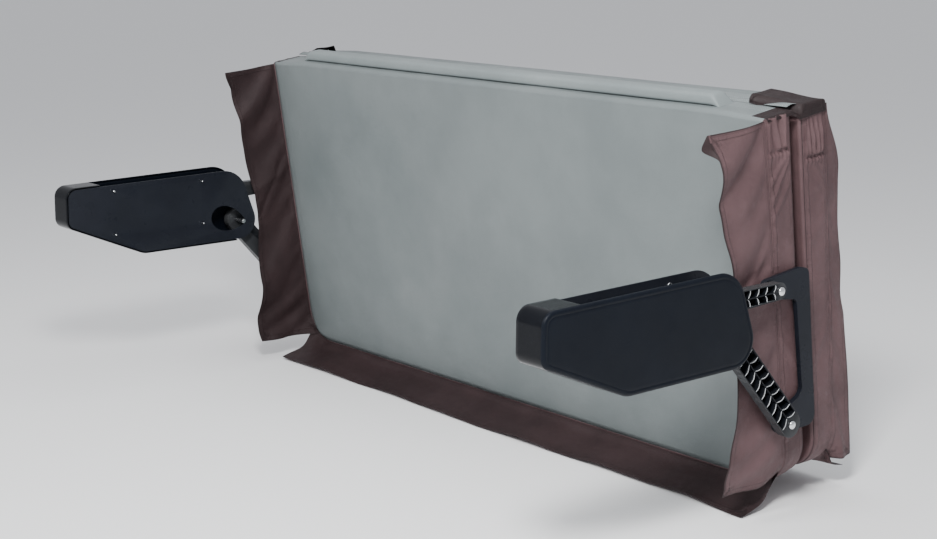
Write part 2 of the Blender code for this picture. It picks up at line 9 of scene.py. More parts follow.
import bmesh
import bpy
import numpy as np
from mathutils import Vector, noise
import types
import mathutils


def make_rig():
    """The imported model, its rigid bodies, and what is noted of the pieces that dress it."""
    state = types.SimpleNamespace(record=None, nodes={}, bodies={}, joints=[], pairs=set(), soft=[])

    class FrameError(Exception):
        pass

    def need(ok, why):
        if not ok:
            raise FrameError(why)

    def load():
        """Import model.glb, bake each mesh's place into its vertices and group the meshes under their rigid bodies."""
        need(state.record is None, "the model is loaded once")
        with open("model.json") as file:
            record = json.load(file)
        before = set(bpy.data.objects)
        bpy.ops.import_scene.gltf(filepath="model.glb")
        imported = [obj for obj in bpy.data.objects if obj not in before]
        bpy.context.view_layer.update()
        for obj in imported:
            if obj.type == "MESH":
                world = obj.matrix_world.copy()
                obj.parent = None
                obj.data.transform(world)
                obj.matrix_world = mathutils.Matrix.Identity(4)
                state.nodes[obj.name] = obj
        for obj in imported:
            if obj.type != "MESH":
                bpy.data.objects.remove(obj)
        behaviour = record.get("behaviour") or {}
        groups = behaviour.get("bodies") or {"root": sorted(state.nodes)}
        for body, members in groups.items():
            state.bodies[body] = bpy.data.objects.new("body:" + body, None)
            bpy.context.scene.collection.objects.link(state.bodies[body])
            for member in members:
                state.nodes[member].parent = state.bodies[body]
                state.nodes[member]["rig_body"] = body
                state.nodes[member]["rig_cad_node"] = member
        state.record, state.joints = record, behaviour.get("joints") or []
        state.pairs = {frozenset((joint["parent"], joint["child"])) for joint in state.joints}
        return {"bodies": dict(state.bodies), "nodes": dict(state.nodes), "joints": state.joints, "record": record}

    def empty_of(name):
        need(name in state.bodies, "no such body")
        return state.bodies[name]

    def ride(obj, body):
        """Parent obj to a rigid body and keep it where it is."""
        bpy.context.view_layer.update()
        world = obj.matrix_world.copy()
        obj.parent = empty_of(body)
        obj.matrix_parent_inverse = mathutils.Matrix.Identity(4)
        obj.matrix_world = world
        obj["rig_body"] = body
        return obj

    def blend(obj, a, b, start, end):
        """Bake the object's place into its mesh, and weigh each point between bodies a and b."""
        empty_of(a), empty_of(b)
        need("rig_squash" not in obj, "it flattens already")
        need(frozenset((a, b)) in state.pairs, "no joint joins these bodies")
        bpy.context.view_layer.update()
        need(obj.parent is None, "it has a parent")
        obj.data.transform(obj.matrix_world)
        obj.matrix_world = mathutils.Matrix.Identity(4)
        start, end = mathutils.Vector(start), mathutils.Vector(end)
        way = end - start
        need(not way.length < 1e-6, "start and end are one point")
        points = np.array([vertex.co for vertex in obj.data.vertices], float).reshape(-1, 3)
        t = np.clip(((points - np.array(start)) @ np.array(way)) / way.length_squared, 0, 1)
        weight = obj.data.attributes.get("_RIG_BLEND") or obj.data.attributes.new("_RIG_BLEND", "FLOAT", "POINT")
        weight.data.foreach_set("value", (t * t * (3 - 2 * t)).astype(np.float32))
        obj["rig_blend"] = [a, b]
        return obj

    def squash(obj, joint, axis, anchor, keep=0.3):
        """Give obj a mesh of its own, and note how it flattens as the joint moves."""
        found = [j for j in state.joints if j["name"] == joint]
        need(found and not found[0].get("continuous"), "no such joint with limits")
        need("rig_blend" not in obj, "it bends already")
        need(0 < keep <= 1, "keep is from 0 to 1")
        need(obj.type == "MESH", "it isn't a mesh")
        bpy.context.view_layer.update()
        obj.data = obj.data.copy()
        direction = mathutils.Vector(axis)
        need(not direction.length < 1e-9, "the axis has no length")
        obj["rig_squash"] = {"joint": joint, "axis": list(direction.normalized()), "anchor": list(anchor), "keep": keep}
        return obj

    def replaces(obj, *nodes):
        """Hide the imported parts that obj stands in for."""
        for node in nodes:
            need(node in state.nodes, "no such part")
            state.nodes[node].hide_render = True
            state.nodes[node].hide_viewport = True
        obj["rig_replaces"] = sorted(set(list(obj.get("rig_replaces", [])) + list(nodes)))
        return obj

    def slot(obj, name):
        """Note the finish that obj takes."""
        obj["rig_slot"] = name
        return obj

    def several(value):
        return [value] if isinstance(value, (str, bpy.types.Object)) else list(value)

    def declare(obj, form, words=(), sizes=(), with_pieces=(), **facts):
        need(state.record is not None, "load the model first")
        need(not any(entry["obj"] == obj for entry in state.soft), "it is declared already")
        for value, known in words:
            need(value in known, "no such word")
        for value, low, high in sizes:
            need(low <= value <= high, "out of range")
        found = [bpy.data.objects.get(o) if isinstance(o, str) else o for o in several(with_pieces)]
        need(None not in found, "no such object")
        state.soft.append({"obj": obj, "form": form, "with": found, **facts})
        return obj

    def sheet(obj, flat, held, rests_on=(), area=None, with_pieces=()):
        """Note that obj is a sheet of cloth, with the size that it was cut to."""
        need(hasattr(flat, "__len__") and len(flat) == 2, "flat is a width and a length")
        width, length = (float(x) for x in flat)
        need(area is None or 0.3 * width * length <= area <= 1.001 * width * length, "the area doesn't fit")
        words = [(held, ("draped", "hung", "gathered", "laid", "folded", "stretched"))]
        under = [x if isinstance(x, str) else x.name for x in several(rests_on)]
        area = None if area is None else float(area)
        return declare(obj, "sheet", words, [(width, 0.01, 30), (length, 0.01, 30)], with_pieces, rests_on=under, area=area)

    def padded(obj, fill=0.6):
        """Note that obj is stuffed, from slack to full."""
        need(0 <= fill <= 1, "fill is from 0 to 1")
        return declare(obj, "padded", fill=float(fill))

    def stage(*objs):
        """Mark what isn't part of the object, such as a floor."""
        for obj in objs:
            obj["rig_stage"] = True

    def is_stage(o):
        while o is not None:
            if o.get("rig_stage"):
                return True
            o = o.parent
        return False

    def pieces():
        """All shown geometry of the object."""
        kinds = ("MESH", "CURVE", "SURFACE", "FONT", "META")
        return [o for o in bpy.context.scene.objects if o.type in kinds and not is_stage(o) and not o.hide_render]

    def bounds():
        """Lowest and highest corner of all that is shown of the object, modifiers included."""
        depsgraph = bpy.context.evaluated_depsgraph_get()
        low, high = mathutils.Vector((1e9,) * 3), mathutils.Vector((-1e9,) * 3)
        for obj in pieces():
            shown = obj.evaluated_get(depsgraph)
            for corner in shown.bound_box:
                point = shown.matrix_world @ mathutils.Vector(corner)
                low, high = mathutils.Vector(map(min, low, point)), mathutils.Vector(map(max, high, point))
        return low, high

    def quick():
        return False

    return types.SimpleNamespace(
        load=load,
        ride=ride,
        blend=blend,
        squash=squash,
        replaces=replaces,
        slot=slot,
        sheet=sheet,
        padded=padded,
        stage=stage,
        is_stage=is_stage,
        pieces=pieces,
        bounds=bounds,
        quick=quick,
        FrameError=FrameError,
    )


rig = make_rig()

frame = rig.load()
cad_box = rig.bounds()

# ------------------------------------------------------------------ sizes (m)
END_X = 1.185                    # half of the cover's length
HALF_LEN = 1.105                 # hinge end to outer edge
T_HINGE, T_EDGE = 0.1141, 0.0889
CORNER_R = 0.115
LEAN = math.radians(8.41)
TAPER = math.atan2(T_HINGE - T_EDGE, HALF_LEN)
CORNER = (0.4033, 0.4877)        # rear half: hinge end, underside
SLUMP_X = 0.98                   # the hinge end slumps outside this
SLUMP_RUN = 0.16                 # the slump fades out over this length
PANEL_X = END_X - 0.0012         # the grey panel stops just short of the ends
FLOOR_Z = -0.667
LINK_FACE = 1.2502               # outer face of the lifter's links
BOLT = (1.1955, 0.0080, 1.2504, 0.0125, 0.0085)   # see pin_head
LOW_GUIDE = (0.2422, -0.1054)    # lower link's guide pin
HOUSING = ((-0.478, 0.089), (0.232, 0.099), (0.330, -0.175), (-0.185, -0.175),
           (-0.480, -0.048))     # corners of the housing's face
HOUSING_R = (0.040, 0.105, 0.075, 0.085, 0.034)
SIDES = ((1, "right"), (-1, "left"))
JOINT = {j["name"]: j for j in frame["joints"]}
HINGE = Vector(JOINT["front_fold"]["pos_m"])

DOWN = Vector((0, math.sin(LEAN), -math.cos(LEAN)))
OUT = Vector((0, math.cos(LEAN), math.sin(LEAN)))
FOLD_DOWN = Vector((0, math.sin(LEAN - TAPER), -math.cos(LEAN - TAPER)))
FOLD_OUT = Vector((0, math.cos(LEAN - TAPER), math.sin(LEAN - TAPER)))
START = Vector((0, *CORNER))


def thick(s):
    return T_HINGE - (T_HINGE - T_EDGE) * s / HALF_LEN


def smooth(a, b, v):
    u = min(1.0, max(0.0, (v - a) / (b - a)))
    return u * u * (3 - 2 * u)


def slump(x, s):
    """How far the fabric corners of the hinge end sink, fading out with s."""
    return 0.008 * smooth(SLUMP_X, END_X, abs(x)) * max(0.0, 1 - max(s, 0.0) / SLUMP_RUN)


def rear(x, s, t):
    return START + Vector((x, 0, 0)) + DOWN * (s + slump(x, s)) + OUT * t


def front(x, s, t):
    p = rear(x, s, t)
    return p - FOLD_OUT * (2 * (p - HINGE).dot(FOLD_OUT))


def bump(v, centre, width):
    return math.exp(-((v - centre) / width) ** 2)


def rough(x, y, z, seed=0.0):
    return noise.noise(Vector((x + 17.3 * seed, y - 5.1 * seed, z + 3.7 * seed)))


# ------------------------------------------------------------------ materials
class Shader:
    """A Principled material and short calls for its nodes."""

    def __init__(self, name, color, roughness, metallic=0.0):
        self.mat = bpy.data.materials.new(name)
        self.mat.use_nodes = True
        self.tree = self.mat.node_tree
        self.bsdf = self.tree.nodes["Principled BSDF"]
        self.set(**{"Base Color": (*color, 1), "Roughness": roughness,
                    "Metallic": metallic})

    def set(self, **values):
        for k, v in values.items():
            self.bsdf.inputs[k.replace("_", " ")].default_value = v
        return self

    def plug(self, sock, v):
        if hasattr(v, "is_output"):
            self.tree.links.new(v, sock)
        else:
            sock.default_value = v

    def node(self, kind, settings=None, **inputs):
        n = self.tree.nodes.new("ShaderNode" + kind)
        for k, v in (settings or {}).items():
            setattr(n, k, v)
        for k, v in inputs.items():
            k = k.replace("_", " ")
            self.plug(n.inputs[int(k[1:]) if k[0] == "i" and k[1:].isdigit() else k], v)
        return n

    def math(self, op, a, b=0.0, c=0.0):
        n = self.node("Math", {"operation": op}, i0=a, i1=b, i2=c)
        return n.outputs[0]

    def mul(self, a, b):
        return self.math("MULTIPLY", a, b)

    def away(self, a, b):
        return self.math("ABSOLUTE", self.math("SUBTRACT", a, b))

    def wave(self, a, length):
        return self.math("SINE", self.mul(a, 2 * math.pi / length))

    def cell(self, a, length):
        """Distance from the middle of the repeat that a falls in."""
        return self.away(self.math("FRACT", self.math("DIVIDE", a, length)), 0.5)

    def coords(self, name=None):
        if name:
            return self.node("UVMap", {"uv_map": name}).outputs[0]
        return self.node("TexCoord").outputs["Object"]

    def split(self, at):
        return self.node("SeparateXYZ", None, Vector=at).outputs

    def noise(self, at, scale, detail=3.0, rough=0.5):
        return self.node("TexNoise", None, Vector=at, Scale=scale, Detail=detail,
                         Roughness=rough).outputs["Fac"]

    def ramp(self, fac, lo, hi, out_lo=0.0, out_hi=1.0):
        n = self.node("MapRange", {"clamp": True, "interpolation_type": "SMOOTHSTEP"},
                      i0=fac, i1=lo, i2=hi, i3=out_lo, i4=out_hi)
        return n.outputs[0]

    def mix(self, fac, a, b):
        n = self.node("Mix", {"data_type": "RGBA"})
        self.plug(n.inputs[0], fac)
        for k, v in ((6, a), (7, b)):
            self.plug(n.inputs[k], v if hasattr(v, "is_output") else (*v, 1))
        return n.outputs[2]

    def color(self, out):
        self.tree.links.new(out, self.bsdf.inputs["Base Color"])

    def roughness(self, out):
        self.tree.links.new(out, self.bsdf.inputs["Roughness"])

    def bump(self, height, distance, strength=1.0, under=None):
        n = self.node("Bump", None, Strength=strength, Distance=distance,
                      Height=height)
        if under is not None:
            self.tree.links.new(under, n.inputs["Normal"])
        self.tree.links.new(n.outputs[0], self.bsdf.inputs["Normal"])
        return n.outputs[0]


def brown_fabric(name="brown_fabric", dark=1.0):
    """Coated woven cloth.  UV map Cloth is in metres; UV map Edge holds the
    distance from the cut edge and the distance along it."""
    m = Shader(name, (0.12, 0.075, 0.08), 0.62)
    m.set(Specular_IOR_Level=0.24)
    uv, ob = m.coords("Cloth"), m.coords()
    sep = m.split(uv)
    weave = m.mul(m.wave(sep[0], 0.0016), m.wave(sep[1], 0.0016))
    cloud = m.noise(ob, 5.0, 4.0, 0.6)
    fleck = m.noise(ob, 420.0, 2.0)
    scuff = m.noise(ob, 38.0, 5.0, 0.65)
    base = m.mix(m.ramp(cloud, 0.3, 0.7), [0.084 * dark, 0.048 * dark, 0.051 * dark],
                 [0.122 * dark, 0.071 * dark, 0.075 * dark])
    base = m.mix(m.mul(m.ramp(fleck, 0.35, 0.7), 0.30), base,
                 [0.052 * dark, 0.031 * dark, 0.033 * dark])
    base = m.mix(m.mul(m.ramp(scuff, 0.55, 0.8), 0.22), base,
                 [0.175 * dark, 0.105 * dark, 0.107 * dark])
    edge = m.split(m.coords("Edge"))
    line = None
    for d in (0.0065, 0.017):
        one = m.ramp(m.away(edge[0], d), 0.0004, 0.0011, 1.0, 0.0)
        line = one if line is None else m.math("MAXIMUM", line, one)
    dash = m.ramp(m.cell(edge[1], 0.0055), 0.30, 0.38, 1.0, 0.0)
    stitch = m.mul(line, dash)
    hem = m.ramp(edge[0], 0.0185, 0.0200, 1.0, 0.0)
    base = m.mix(m.mul(stitch, 0.55), base, [0.030, 0.019, 0.020])
    # Painted shadow: a dark line along every cut edge and hem.
    cut = m.ramp(edge[0], 0.0020, 0.0048, 1.0, 0.0)
    base = m.mix(m.mul(cut, 0.8), base, [0.018, 0.011, 0.012])
    m.color(base)
    m.roughness(m.ramp(scuff, 0.3, 0.8, 0.62, 0.44))
    pull = m.mul(m.ramp(edge[0], 0.004, 0.045, 1.0, 0.0),
                 m.noise(m.node("CombineXYZ", None, X=edge[1],
                                Y=m.mul(edge[0], 0.35)).outputs[0], 62.0, 2.0))
    first = m.bump(pull, 0.0045)
    crease = m.bump(m.noise(ob, 30.0, 5.0, 0.6), 0.0014, 1.0, first)
    raised = m.bump(m.math("ADD", m.mul(stitch, 0.6), hem), 0.0011, 1.0, crease)
    m.bump(weave, 0.00016, 0.8, raised)
    return m.mat


def grey_vinyl(name="grey_vinyl", tint=1.0, dots=False):
    m = Shader(name, (0.22, 0.25, 0.255), 0.42)
    m.set(Specular_IOR_Level=0.35)
    ob = m.coords()
    cloud = m.noise(ob, 2.6, 4.0, 0.55)
    smear = m.noise(m.node("Mapping", None, Vector=ob,
                           Scale=(1.0, 4.0, 0.35)).outputs[0], 5.0, 3.0)
    base = m.mix(m.ramp(cloud, 0.25, 0.75), [0.132 * tint, 0.153 * tint, 0.155 * tint],
                 [0.166 * tint, 0.188 * tint, 0.189 * tint])
    base = m.mix(m.mul(m.ramp(smear, 0.5, 0.8), 0.25), base,
                 [0.21 * tint, 0.230 * tint, 0.232 * tint])
    grain = m.node("TexVoronoi", {"feature": "DISTANCE_TO_EDGE"}, Vector=ob,
                   Scale=520.0).outputs["Distance"]
    first = m.bump(m.noise(ob, 22.0, 4.0, 0.55), 0.0016)
    last = m.bump(m.ramp(grain, 0.0, 0.12), 0.00010, 0.7, first)
    m.roughness(m.ramp(m.noise(ob, 9.0, 4.0), 0.3, 0.7, 0.36, 0.52))
    if dots:
        sep = m.split(m.coords("Cloth"))
        cell = [m.cell(sep[k], 0.0085) for k in (0, 1)]
        r = m.math("SQRT", m.math("ADD", m.math("POWER", cell[0], 2.0),
                                  m.math("POWER", cell[1], 2.0)))
        dot = m.ramp(r, 0.20, 0.34, 1.0, 0.0)
        base = m.mix(m.mul(dot, 0.55), base, [0.40, 0.43, 0.44])
        m.bump(dot, 0.0009, 1.0, last)
    m.color(base)
    return m.mat


def moulded(name, color, roughness, edge_highlight=0.0, grain=0.00006):
    m = Shader(name, color, roughness)
    m.set(Specular_IOR_Level=0.11)
    ob = m.coords()
    cloud = m.noise(ob, 7.0, 4.0, 0.6)
    base = m.mix(m.ramp(cloud, 0.3, 0.75), color, [c * 1.25 for c in color])
    dust = m.noise(ob, 260.0, 3.0, 0.7)
    base = m.mix(m.mul(m.ramp(dust, 0.58, 0.75), 0.04), base,
                 [0.16, 0.17, 0.18])
    # Sharp edges (pointiness) are lightened: a painted highlight, strongest on the link ribs.
    if edge_highlight:
        highlight_mask = m.ramp(m.node("NewGeometry").outputs["Pointiness"], 0.52, 0.60)
        base = m.mix(m.mul(highlight_mask, edge_highlight), base, [0.42, 0.43, 0.44])
    m.color(base)
    m.roughness(m.ramp(m.noise(ob, 16.0, 5.0, 0.6), 0.3, 0.75, roughness - 0.06,
                       roughness + 0.08))
    m.bump(m.noise(ob, 1400.0, 2.0), grain, 0.8)
    return m.mat


def metal(name, color, roughness, brushed=(1, 1, 1)):
    m = Shader(name, color, roughness, 1.0)
    ob = m.coords()
    lines = m.noise(m.node("Mapping", None, Vector=ob, Scale=brushed).outputs[0],
                    300.0, 4.0, 0.6)
    tarnish = m.noise(ob, 45.0, 4.0, 0.6)
    m.color(m.mix(m.ramp(tarnish, 0.45, 0.8), color, [c * 0.72 for c in color]))
    m.roughness(m.ramp(lines, 0.2, 0.8, roughness - 0.08, roughness + 0.10))
    m.bump(lines, 0.00003, 0.6)
    return m.mat


def webbing():
    m = Shader("webbing", (0.03, 0.024, 0.024), 0.75)
    m.set(Sheen_Weight=0.3)
    sep = m.split(m.coords("Cloth"))
    rib = m.mul(m.wave(sep[0], 0.0030), m.wave(sep[1], 0.0020))
    m.color(m.mix(m.ramp(rib, -0.6, 0.8), [0.018, 0.014, 0.014], [0.055, 0.042, 0.042]))
    m.bump(rib, 0.0004)
    return m.mat


def foam():
    m = Shader("foam", (0.82, 0.84, 0.83), 0.85)
    beads = m.node("TexVoronoi", None, Vector=m.coords(), Scale=220.0).outputs["Distance"]
    m.color(m.mix(m.ramp(beads, 0.1, 0.6), [0.86, 0.87, 0.86], [0.70, 0.72, 0.71]))
    m.bump(beads, 0.0006)
    return m.mat


MAT = {
    "vinyl_brown": brown_fabric(),
    "vinyl_grey": grey_vinyl(),
    "grey_dots": grey_vinyl("grey_dots", 1.0, True),
    "grey_bar": grey_vinyl("grey_bar", 1.30),
    "foam": foam(),
    "webbing": webbing(),
    "lining": brown_fabric("lining", 0.30),
    # A darkened copy of the brown fabric for the hinge tongues: painted shade.
    "shaded_brown_fabric": brown_fabric("shaded_brown_fabric", 0.17),
    "zinc_steel": metal("zinc_steel", (0.62, 0.64, 0.65), 0.42),
    "black_plastic": moulded("black_plastic", (0.0030, 0.0045, 0.0080), 0.42),
    "gloss_plastic": moulded("gloss_plastic", (0.004, 0.0045, 0.006), 0.14),
    "rib_plastic": moulded("rib_plastic", (0.006, 0.007, 0.009), 0.24, 0.3),
    # Light grey for the cords on the link ribs: a painted highlight.
    "rib_edge": moulded("rib_edge", (0.42, 0.43, 0.44), 0.28),
    "black_steel": moulded("black_steel", (0.009, 0.0105, 0.015), 0.32, 0.05, 0.0001),
    "bright_steel": metal("bright_steel", (0.78, 0.79, 0.80), 0.22, (1, 0.2, 1)),
}


# -------------------------------------------------------------------- pieces
def place_object(name, data, at=(0, 0, 0)):
    ob = bpy.data.objects.new(name, data)
    bpy.context.scene.collection.objects.link(ob)
    ob.location = at
    return ob


NO_EDGE = (1.0, 0.0)             # Edge map value far from every cut edge


def add(name, body, mats, verts, faces, face_mat=None, uv=None, edge=None):
    """A mesh piece that rides on body.  uv and edge are per vertex."""
    me = bpy.data.meshes.new(name)
    me.from_pydata([tuple(v) for v in verts], [], faces)
    for m in mats if isinstance(mats, (list, tuple)) else [mats]:
        me.materials.append(MAT[m])
    if face_mat:
        me.polygons.foreach_set("material_index", face_mat)
    corner = np.empty(len(me.loops), np.int32)
    me.loops.foreach_get("vertex_index", corner)
    for layer, data, plain in (("Cloth", uv, (0.0, 0.0)), ("Edge", edge, NO_EDGE)):
        lay = me.uv_layers.new(name=layer)
        if data is None:
            data = np.full((len(verts), 2), plain)
        lay.data.foreach_set("uv", np.asarray(data, np.float32)[corner].ravel())
    me.polygons.foreach_set("use_smooth", [True] * len(me.polygons))
    ob = place_object(name, me)
    ob["ride_on"] = body
    return ob


def thicken(ob, thickness, offset=-1.0, material=0):
    """Solidify; material is added to the index on the inner side."""
    sol = ob.modifiers.new("thickness", "SOLIDIFY")
    sol.thickness, sol.offset, sol.material_offset = thickness, offset, material


def subdivide(ob, levels=1):
    sub = ob.modifiers.new("smooth", "SUBSURF")
    sub.levels = sub.render_levels = levels


def weigh_normals(ob):
    ob.modifiers.new("normals", "WEIGHTED_NORMAL").keep_sharp = False


def agree(ob, inside_out=lambda bm: False, mixed=True):
    """Make mixed faces agree, and turn them all when inside_out says so."""
    bm = bmesh.new()
    bm.from_mesh(ob.data)
    if mixed:
        bmesh.ops.recalc_face_normals(bm, faces=bm.faces)
    if inside_out(bm):
        bmesh.ops.reverse_faces(bm, faces=bm.faces)
    bm.to_mesh(ob.data)
    bm.free()


def orient(ob, direction):
    """Turn the faces so that most of them look along direction."""
    agree(ob, lambda bm: sum(f.normal.dot(direction) * f.calc_area()
                             for f in bm.faces) < 0, False)


WAITING = []


def mount(ob, slot, nodes=(), squash=None):
    """Note what the piece stands for; settle_all() does the rest."""
    WAITING.append((ob, slot, nodes, squash))
    return ob


def settle_all():
    """Apply all modifiers, ride each piece on its body and name its slot."""
    bpy.context.view_layer.update()
    deps = bpy.context.evaluated_depsgraph_get()
    made = [bpy.data.meshes.new_from_object(row[0].evaluated_get(deps), depsgraph=deps)
            for row in WAITING]
    for (ob, slot, nodes, squash), me in zip(WAITING, made):
        ob.modifiers.clear()
        ob.vertex_groups.clear()
        me.name = ob.name
        ob.data = me
        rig.slot(ob, slot)
        if nodes:
            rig.replaces(ob, *nodes)
        if "blend_with" in ob:
            continue
        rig.ride(ob, ob["ride_on"])
        if squash:
            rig.squash(ob, "right_upper_swing", **squash)


def grid(nu, nv, closed_u=False):
    """Faces of nv rows of nu quads; closed_u joins each row's ends."""
    faces = []
    cols = nu if closed_u else nu + 1
    for j in range(nv):
        for i in range(nu):
            a = j * cols + i
            b = j * cols + (i + 1) % cols
            faces.append((a, b, b + cols, a + cols))
    return faces


def sheet_piece(name, body, mat, nu, nv, place, size, hemmed=False, turn=None):
    """Cloth over u, v in 0..1.  size is the flat (length, width) in metres.
    turn(u) adds a strip along the far side that shows the second material."""
    verts, uv, edge = [], [], []
    length, width = size
    for j in range(nv + 1):
        v = j / nv
        for i in range(nu + 1):
            u = i / nu
            verts.append(place(u, v))
            uv.append((u * length, v * width))
            near = [NO_EDGE]
            if hemmed:
                near += [(min(u, 1 - u) * length, v * width),
                         ((1 - v) * width, u * length), (v * width, u * length)]
            edge.append(min(near))
    second = None
    if turn:
        for i in range(nu + 1):
            verts.append(place(i / nu, 1.0) + turn(i / nu))
            uv.append((i / nu * length, width))
            edge.append(NO_EDGE)
        second = [0] * (nu * nv) + [1] * nu
        nv += 1
    return add(name, body, mat, verts, grid(nu, nv), second, uv, edge)


def tube(name, body, mat, pts, radius, sides=8):
    """Round cord along pts, with closed ends."""
    verts = []
    n = len(pts)
    for k, p in enumerate(pts):
        a, b = pts[max(k - 1, 0)], pts[min(k + 1, n - 1)]
        d = (b - a).normalized()
        side = d.cross(Vector((0.13, 0.7, 0.31))).normalized()
        up = side.cross(d)
        for q in range(sides):
            t = 2 * math.pi * q / sides
            verts.append(p + side * radius * math.cos(t) + up * radius * math.sin(t))
    faces = grid(sides, n - 1, True)
    faces.append(tuple(range(sides))[::-1])
    faces.append(tuple(range((n - 1) * sides, n * sides)))
    run = np.arange(n).repeat(sides) * 0.01
    return add(name, body, mat, verts, faces, uv=np.column_stack((run, run * 0)))


# ---------------------------------------------------------------- cover halves
def plan(u, v, d):
    """Point of the half's plan, moved inward by d; round outer corners."""
    e, far = END_X - d, HALF_LEN - d
    x, s = -e + 2 * e * u, d + (far - d) * v
    r = max(CORNER_R - d, 0.01)
    a, b = (abs(x) - (e - r)) / r, (s - (far - r)) / r
    if a > 0 and b > 0:
        a, b = a * math.sqrt(1 - b * b / 2), b * math.sqrt(1 - a * a / 2)
        x, s = math.copysign(e - r + a * r, x), far - r + b * r
    return x, s


def cover_shell(tag, at, seed):
    """Brown top face, then rings over the edge and down the side walls."""
    nu, nv = 132, 60
    rim = [(i, 0) for i in range(nu)] + [(nu, j) for j in range(nv)]
    rim += [(nu - i, nv) for i in range(nu)] + [(0, nv - j) for j in range(nv)]
    verts, uv = [], []
    soft = 0.011

    def relief(x, s):
        return 0.0022 * rough(x * 3.1, s * 3.1, 0, seed) \
            + 0.0012 * rough(x * 9, s * 9, 1, seed)

    for j in range(nv + 1):
        for i in range(nu + 1):
            x, s = plan(i / nu, j / nv, soft)
            verts.append(at(x, s, thick(s) - 0.0006 - 0.0012 * abs(relief(x, s)) / 0.002))
            uv.append((x, s))
    faces = grid(nu, nv)
    arc = [(soft * (1 - math.sin(a)), soft * (1 - math.cos(a)))
           for a in (0.4, 0.8, 1.2, math.pi / 2)]
    ring0 = [j * (nu + 1) + i for i, j in rim]
    m = len(rim)
    prev = ring0
    for step in range(len(arc) + 6):
        ids = []
        for i, j in rim:
            share = max(0, step - len(arc) + 1) / 6
            inset_d, drop = arc[min(step, len(arc) - 1)]
            x, s = plan(i / nu, j / nv, inset_d)
            t = thick(s) - drop
            t -= (t - 0.0020) * share
            if j == 0:
                s += 0.0030
            verts.append(at(x, s, t))
            uv.append((x + s, t))
            ids.append(len(verts) - 1)
        for k in range(m):
            faces.append((prev[k], ids[k], ids[(k + 1) % m], prev[(k + 1) % m]))
        prev = ids
    shell = add(tag + "_cover_shell", tag + "_cover", "vinyl_brown", verts, faces, uv=uv)
    thicken(shell, 0.0012)

    def top_looks_in(bm):
        bm.faces.ensure_lookup_table()
        return bm.faces[0].normal.dot(at(0, 0.5, 1) - at(0, 0.5, 0)) < 0

    agree(shell, top_looks_in)
    mount(shell, "vinyl_brown", [tag + "_top_skin"])
    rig.padded(shell, fill=1.0)


def grey_panel(tag, at, seed):
    """Grey vinyl over the hinge end, round its corner and down the underside."""
    rise = T_HINGE - 0.004
    bend = 0.010
    flat, turned = rise - bend, rise - bend + bend * math.pi / 2
    nw = 10
    verts, uv = [], []
    nu2, nv2 = 150, 72
    for j in range(nv2 + 1):
        if j <= nw:
            q = flat * j / nw
        elif j <= nw + 4:
            q = flat + bend * math.pi / 2 * (j - nw) / 4
        else:
            f = (j - nw - 4) / (nv2 - nw - 4)
            q = turned + (HALF_LEN - bend - 0.0015) * f
        for i in range(nu2 + 1):
            u = i / nu2
            x = (-1 + 2 * u) * PANEL_X
            if q < flat:
                s, t = 0.0, rise - q
            elif q < turned:
                a = (q - rise + bend) / bend
                s, t = bend * (1 - math.cos(a)), bend * (1 - math.sin(a))
            else:
                s = q - turned + bend
                x, s = plan(u, (s - 0.0012) / (HALF_LEN - 0.0024), 0.0012)
                t = 0.0
            inner = min(END_X - abs(x), HALF_LEN - s + 0.02)
            lift = smooth(0.0, 0.05, inner) * underside_relief(x, s, seed)
            if t > 0.001:
                verts.append(at(x, s - 0.0006 - 0.5 * lift, t))
            else:
                verts.append(at(x, s, -0.0005 - lift))
            uv.append((x, q))
    faces = grid(nu2, nv2)
    mats = [0] * len(faces)
    for k in range(len(faces)):
        j, i = divmod(k, nu2)
        xm = (-1 + 2 * (i + 0.5) / nu2) * END_X
        if j < 5 and xm > 0.86:
            mats[k] = 1
    panel = add(tag + "_grey_panel", tag + "_cover", ["vinyl_grey", "grey_dots"], verts,
                faces, mats, uv)
    thicken(panel, 0.0010, 0.0)
    mount(panel, "vinyl_grey", [tag + "_underside", tag + "_hinge_panel"])
    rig.padded(panel, fill=1.0)


def seam_welt(tag, at):
    """Welt along the seam between the grey panel and the brown walls."""
    path = []
    steps = 60
    for k in range(steps + 1):
        path.append((END_X - 0.0005, 0.004 + (HALF_LEN - CORNER_R - 0.004) * k / steps))
    for k in range(1, 13):
        a = math.pi / 2 * k / 12
        path.append((END_X - CORNER_R * (1 - math.cos(a)),
                     HALF_LEN - CORNER_R + CORNER_R * math.sin(a)))
    proud = 0.0004
    half_path = [at(x, s, -proud) for x, s in path]
    other = [at(-x, s, -proud) for x, s in reversed(path)]
    welt = tube(tag + "_seam_welt", tag + "_cover", "vinyl_brown", half_path + other, 0.0024)
    mount(welt, "vinyl_brown")


def outline(q, d=0.0):
    """Point (x, s) and outward normal of the half's plan at the distance q
    from the right hinge corner, round the outer edge to the left one."""
    run = HALF_LEN - CORNER_R
    arc = CORNER_R * math.pi / 2
    across = 2 * (END_X - CORNER_R)
    if q > run + arc + across / 2:
        x, s, nx, ns = outline(2 * (run + arc) + across - q, d)
        return -x, s, -nx, ns
    if q < run:
        return END_X + d, q, 1.0, 0.0
    if q < run + arc:
        a = (q - run) / CORNER_R
        r = CORNER_R + d
        return (END_X - CORNER_R + r * math.cos(a), run + r * math.sin(a),
                math.cos(a), math.sin(a))
    return END_X - CORNER_R - (q - run - arc), HALF_LEN + d, 0.0, 1.0


BAND_RUN = 2 * (HALF_LEN - CORNER_R) + math.pi * CORNER_R + 2 * (END_X - CORNER_R)


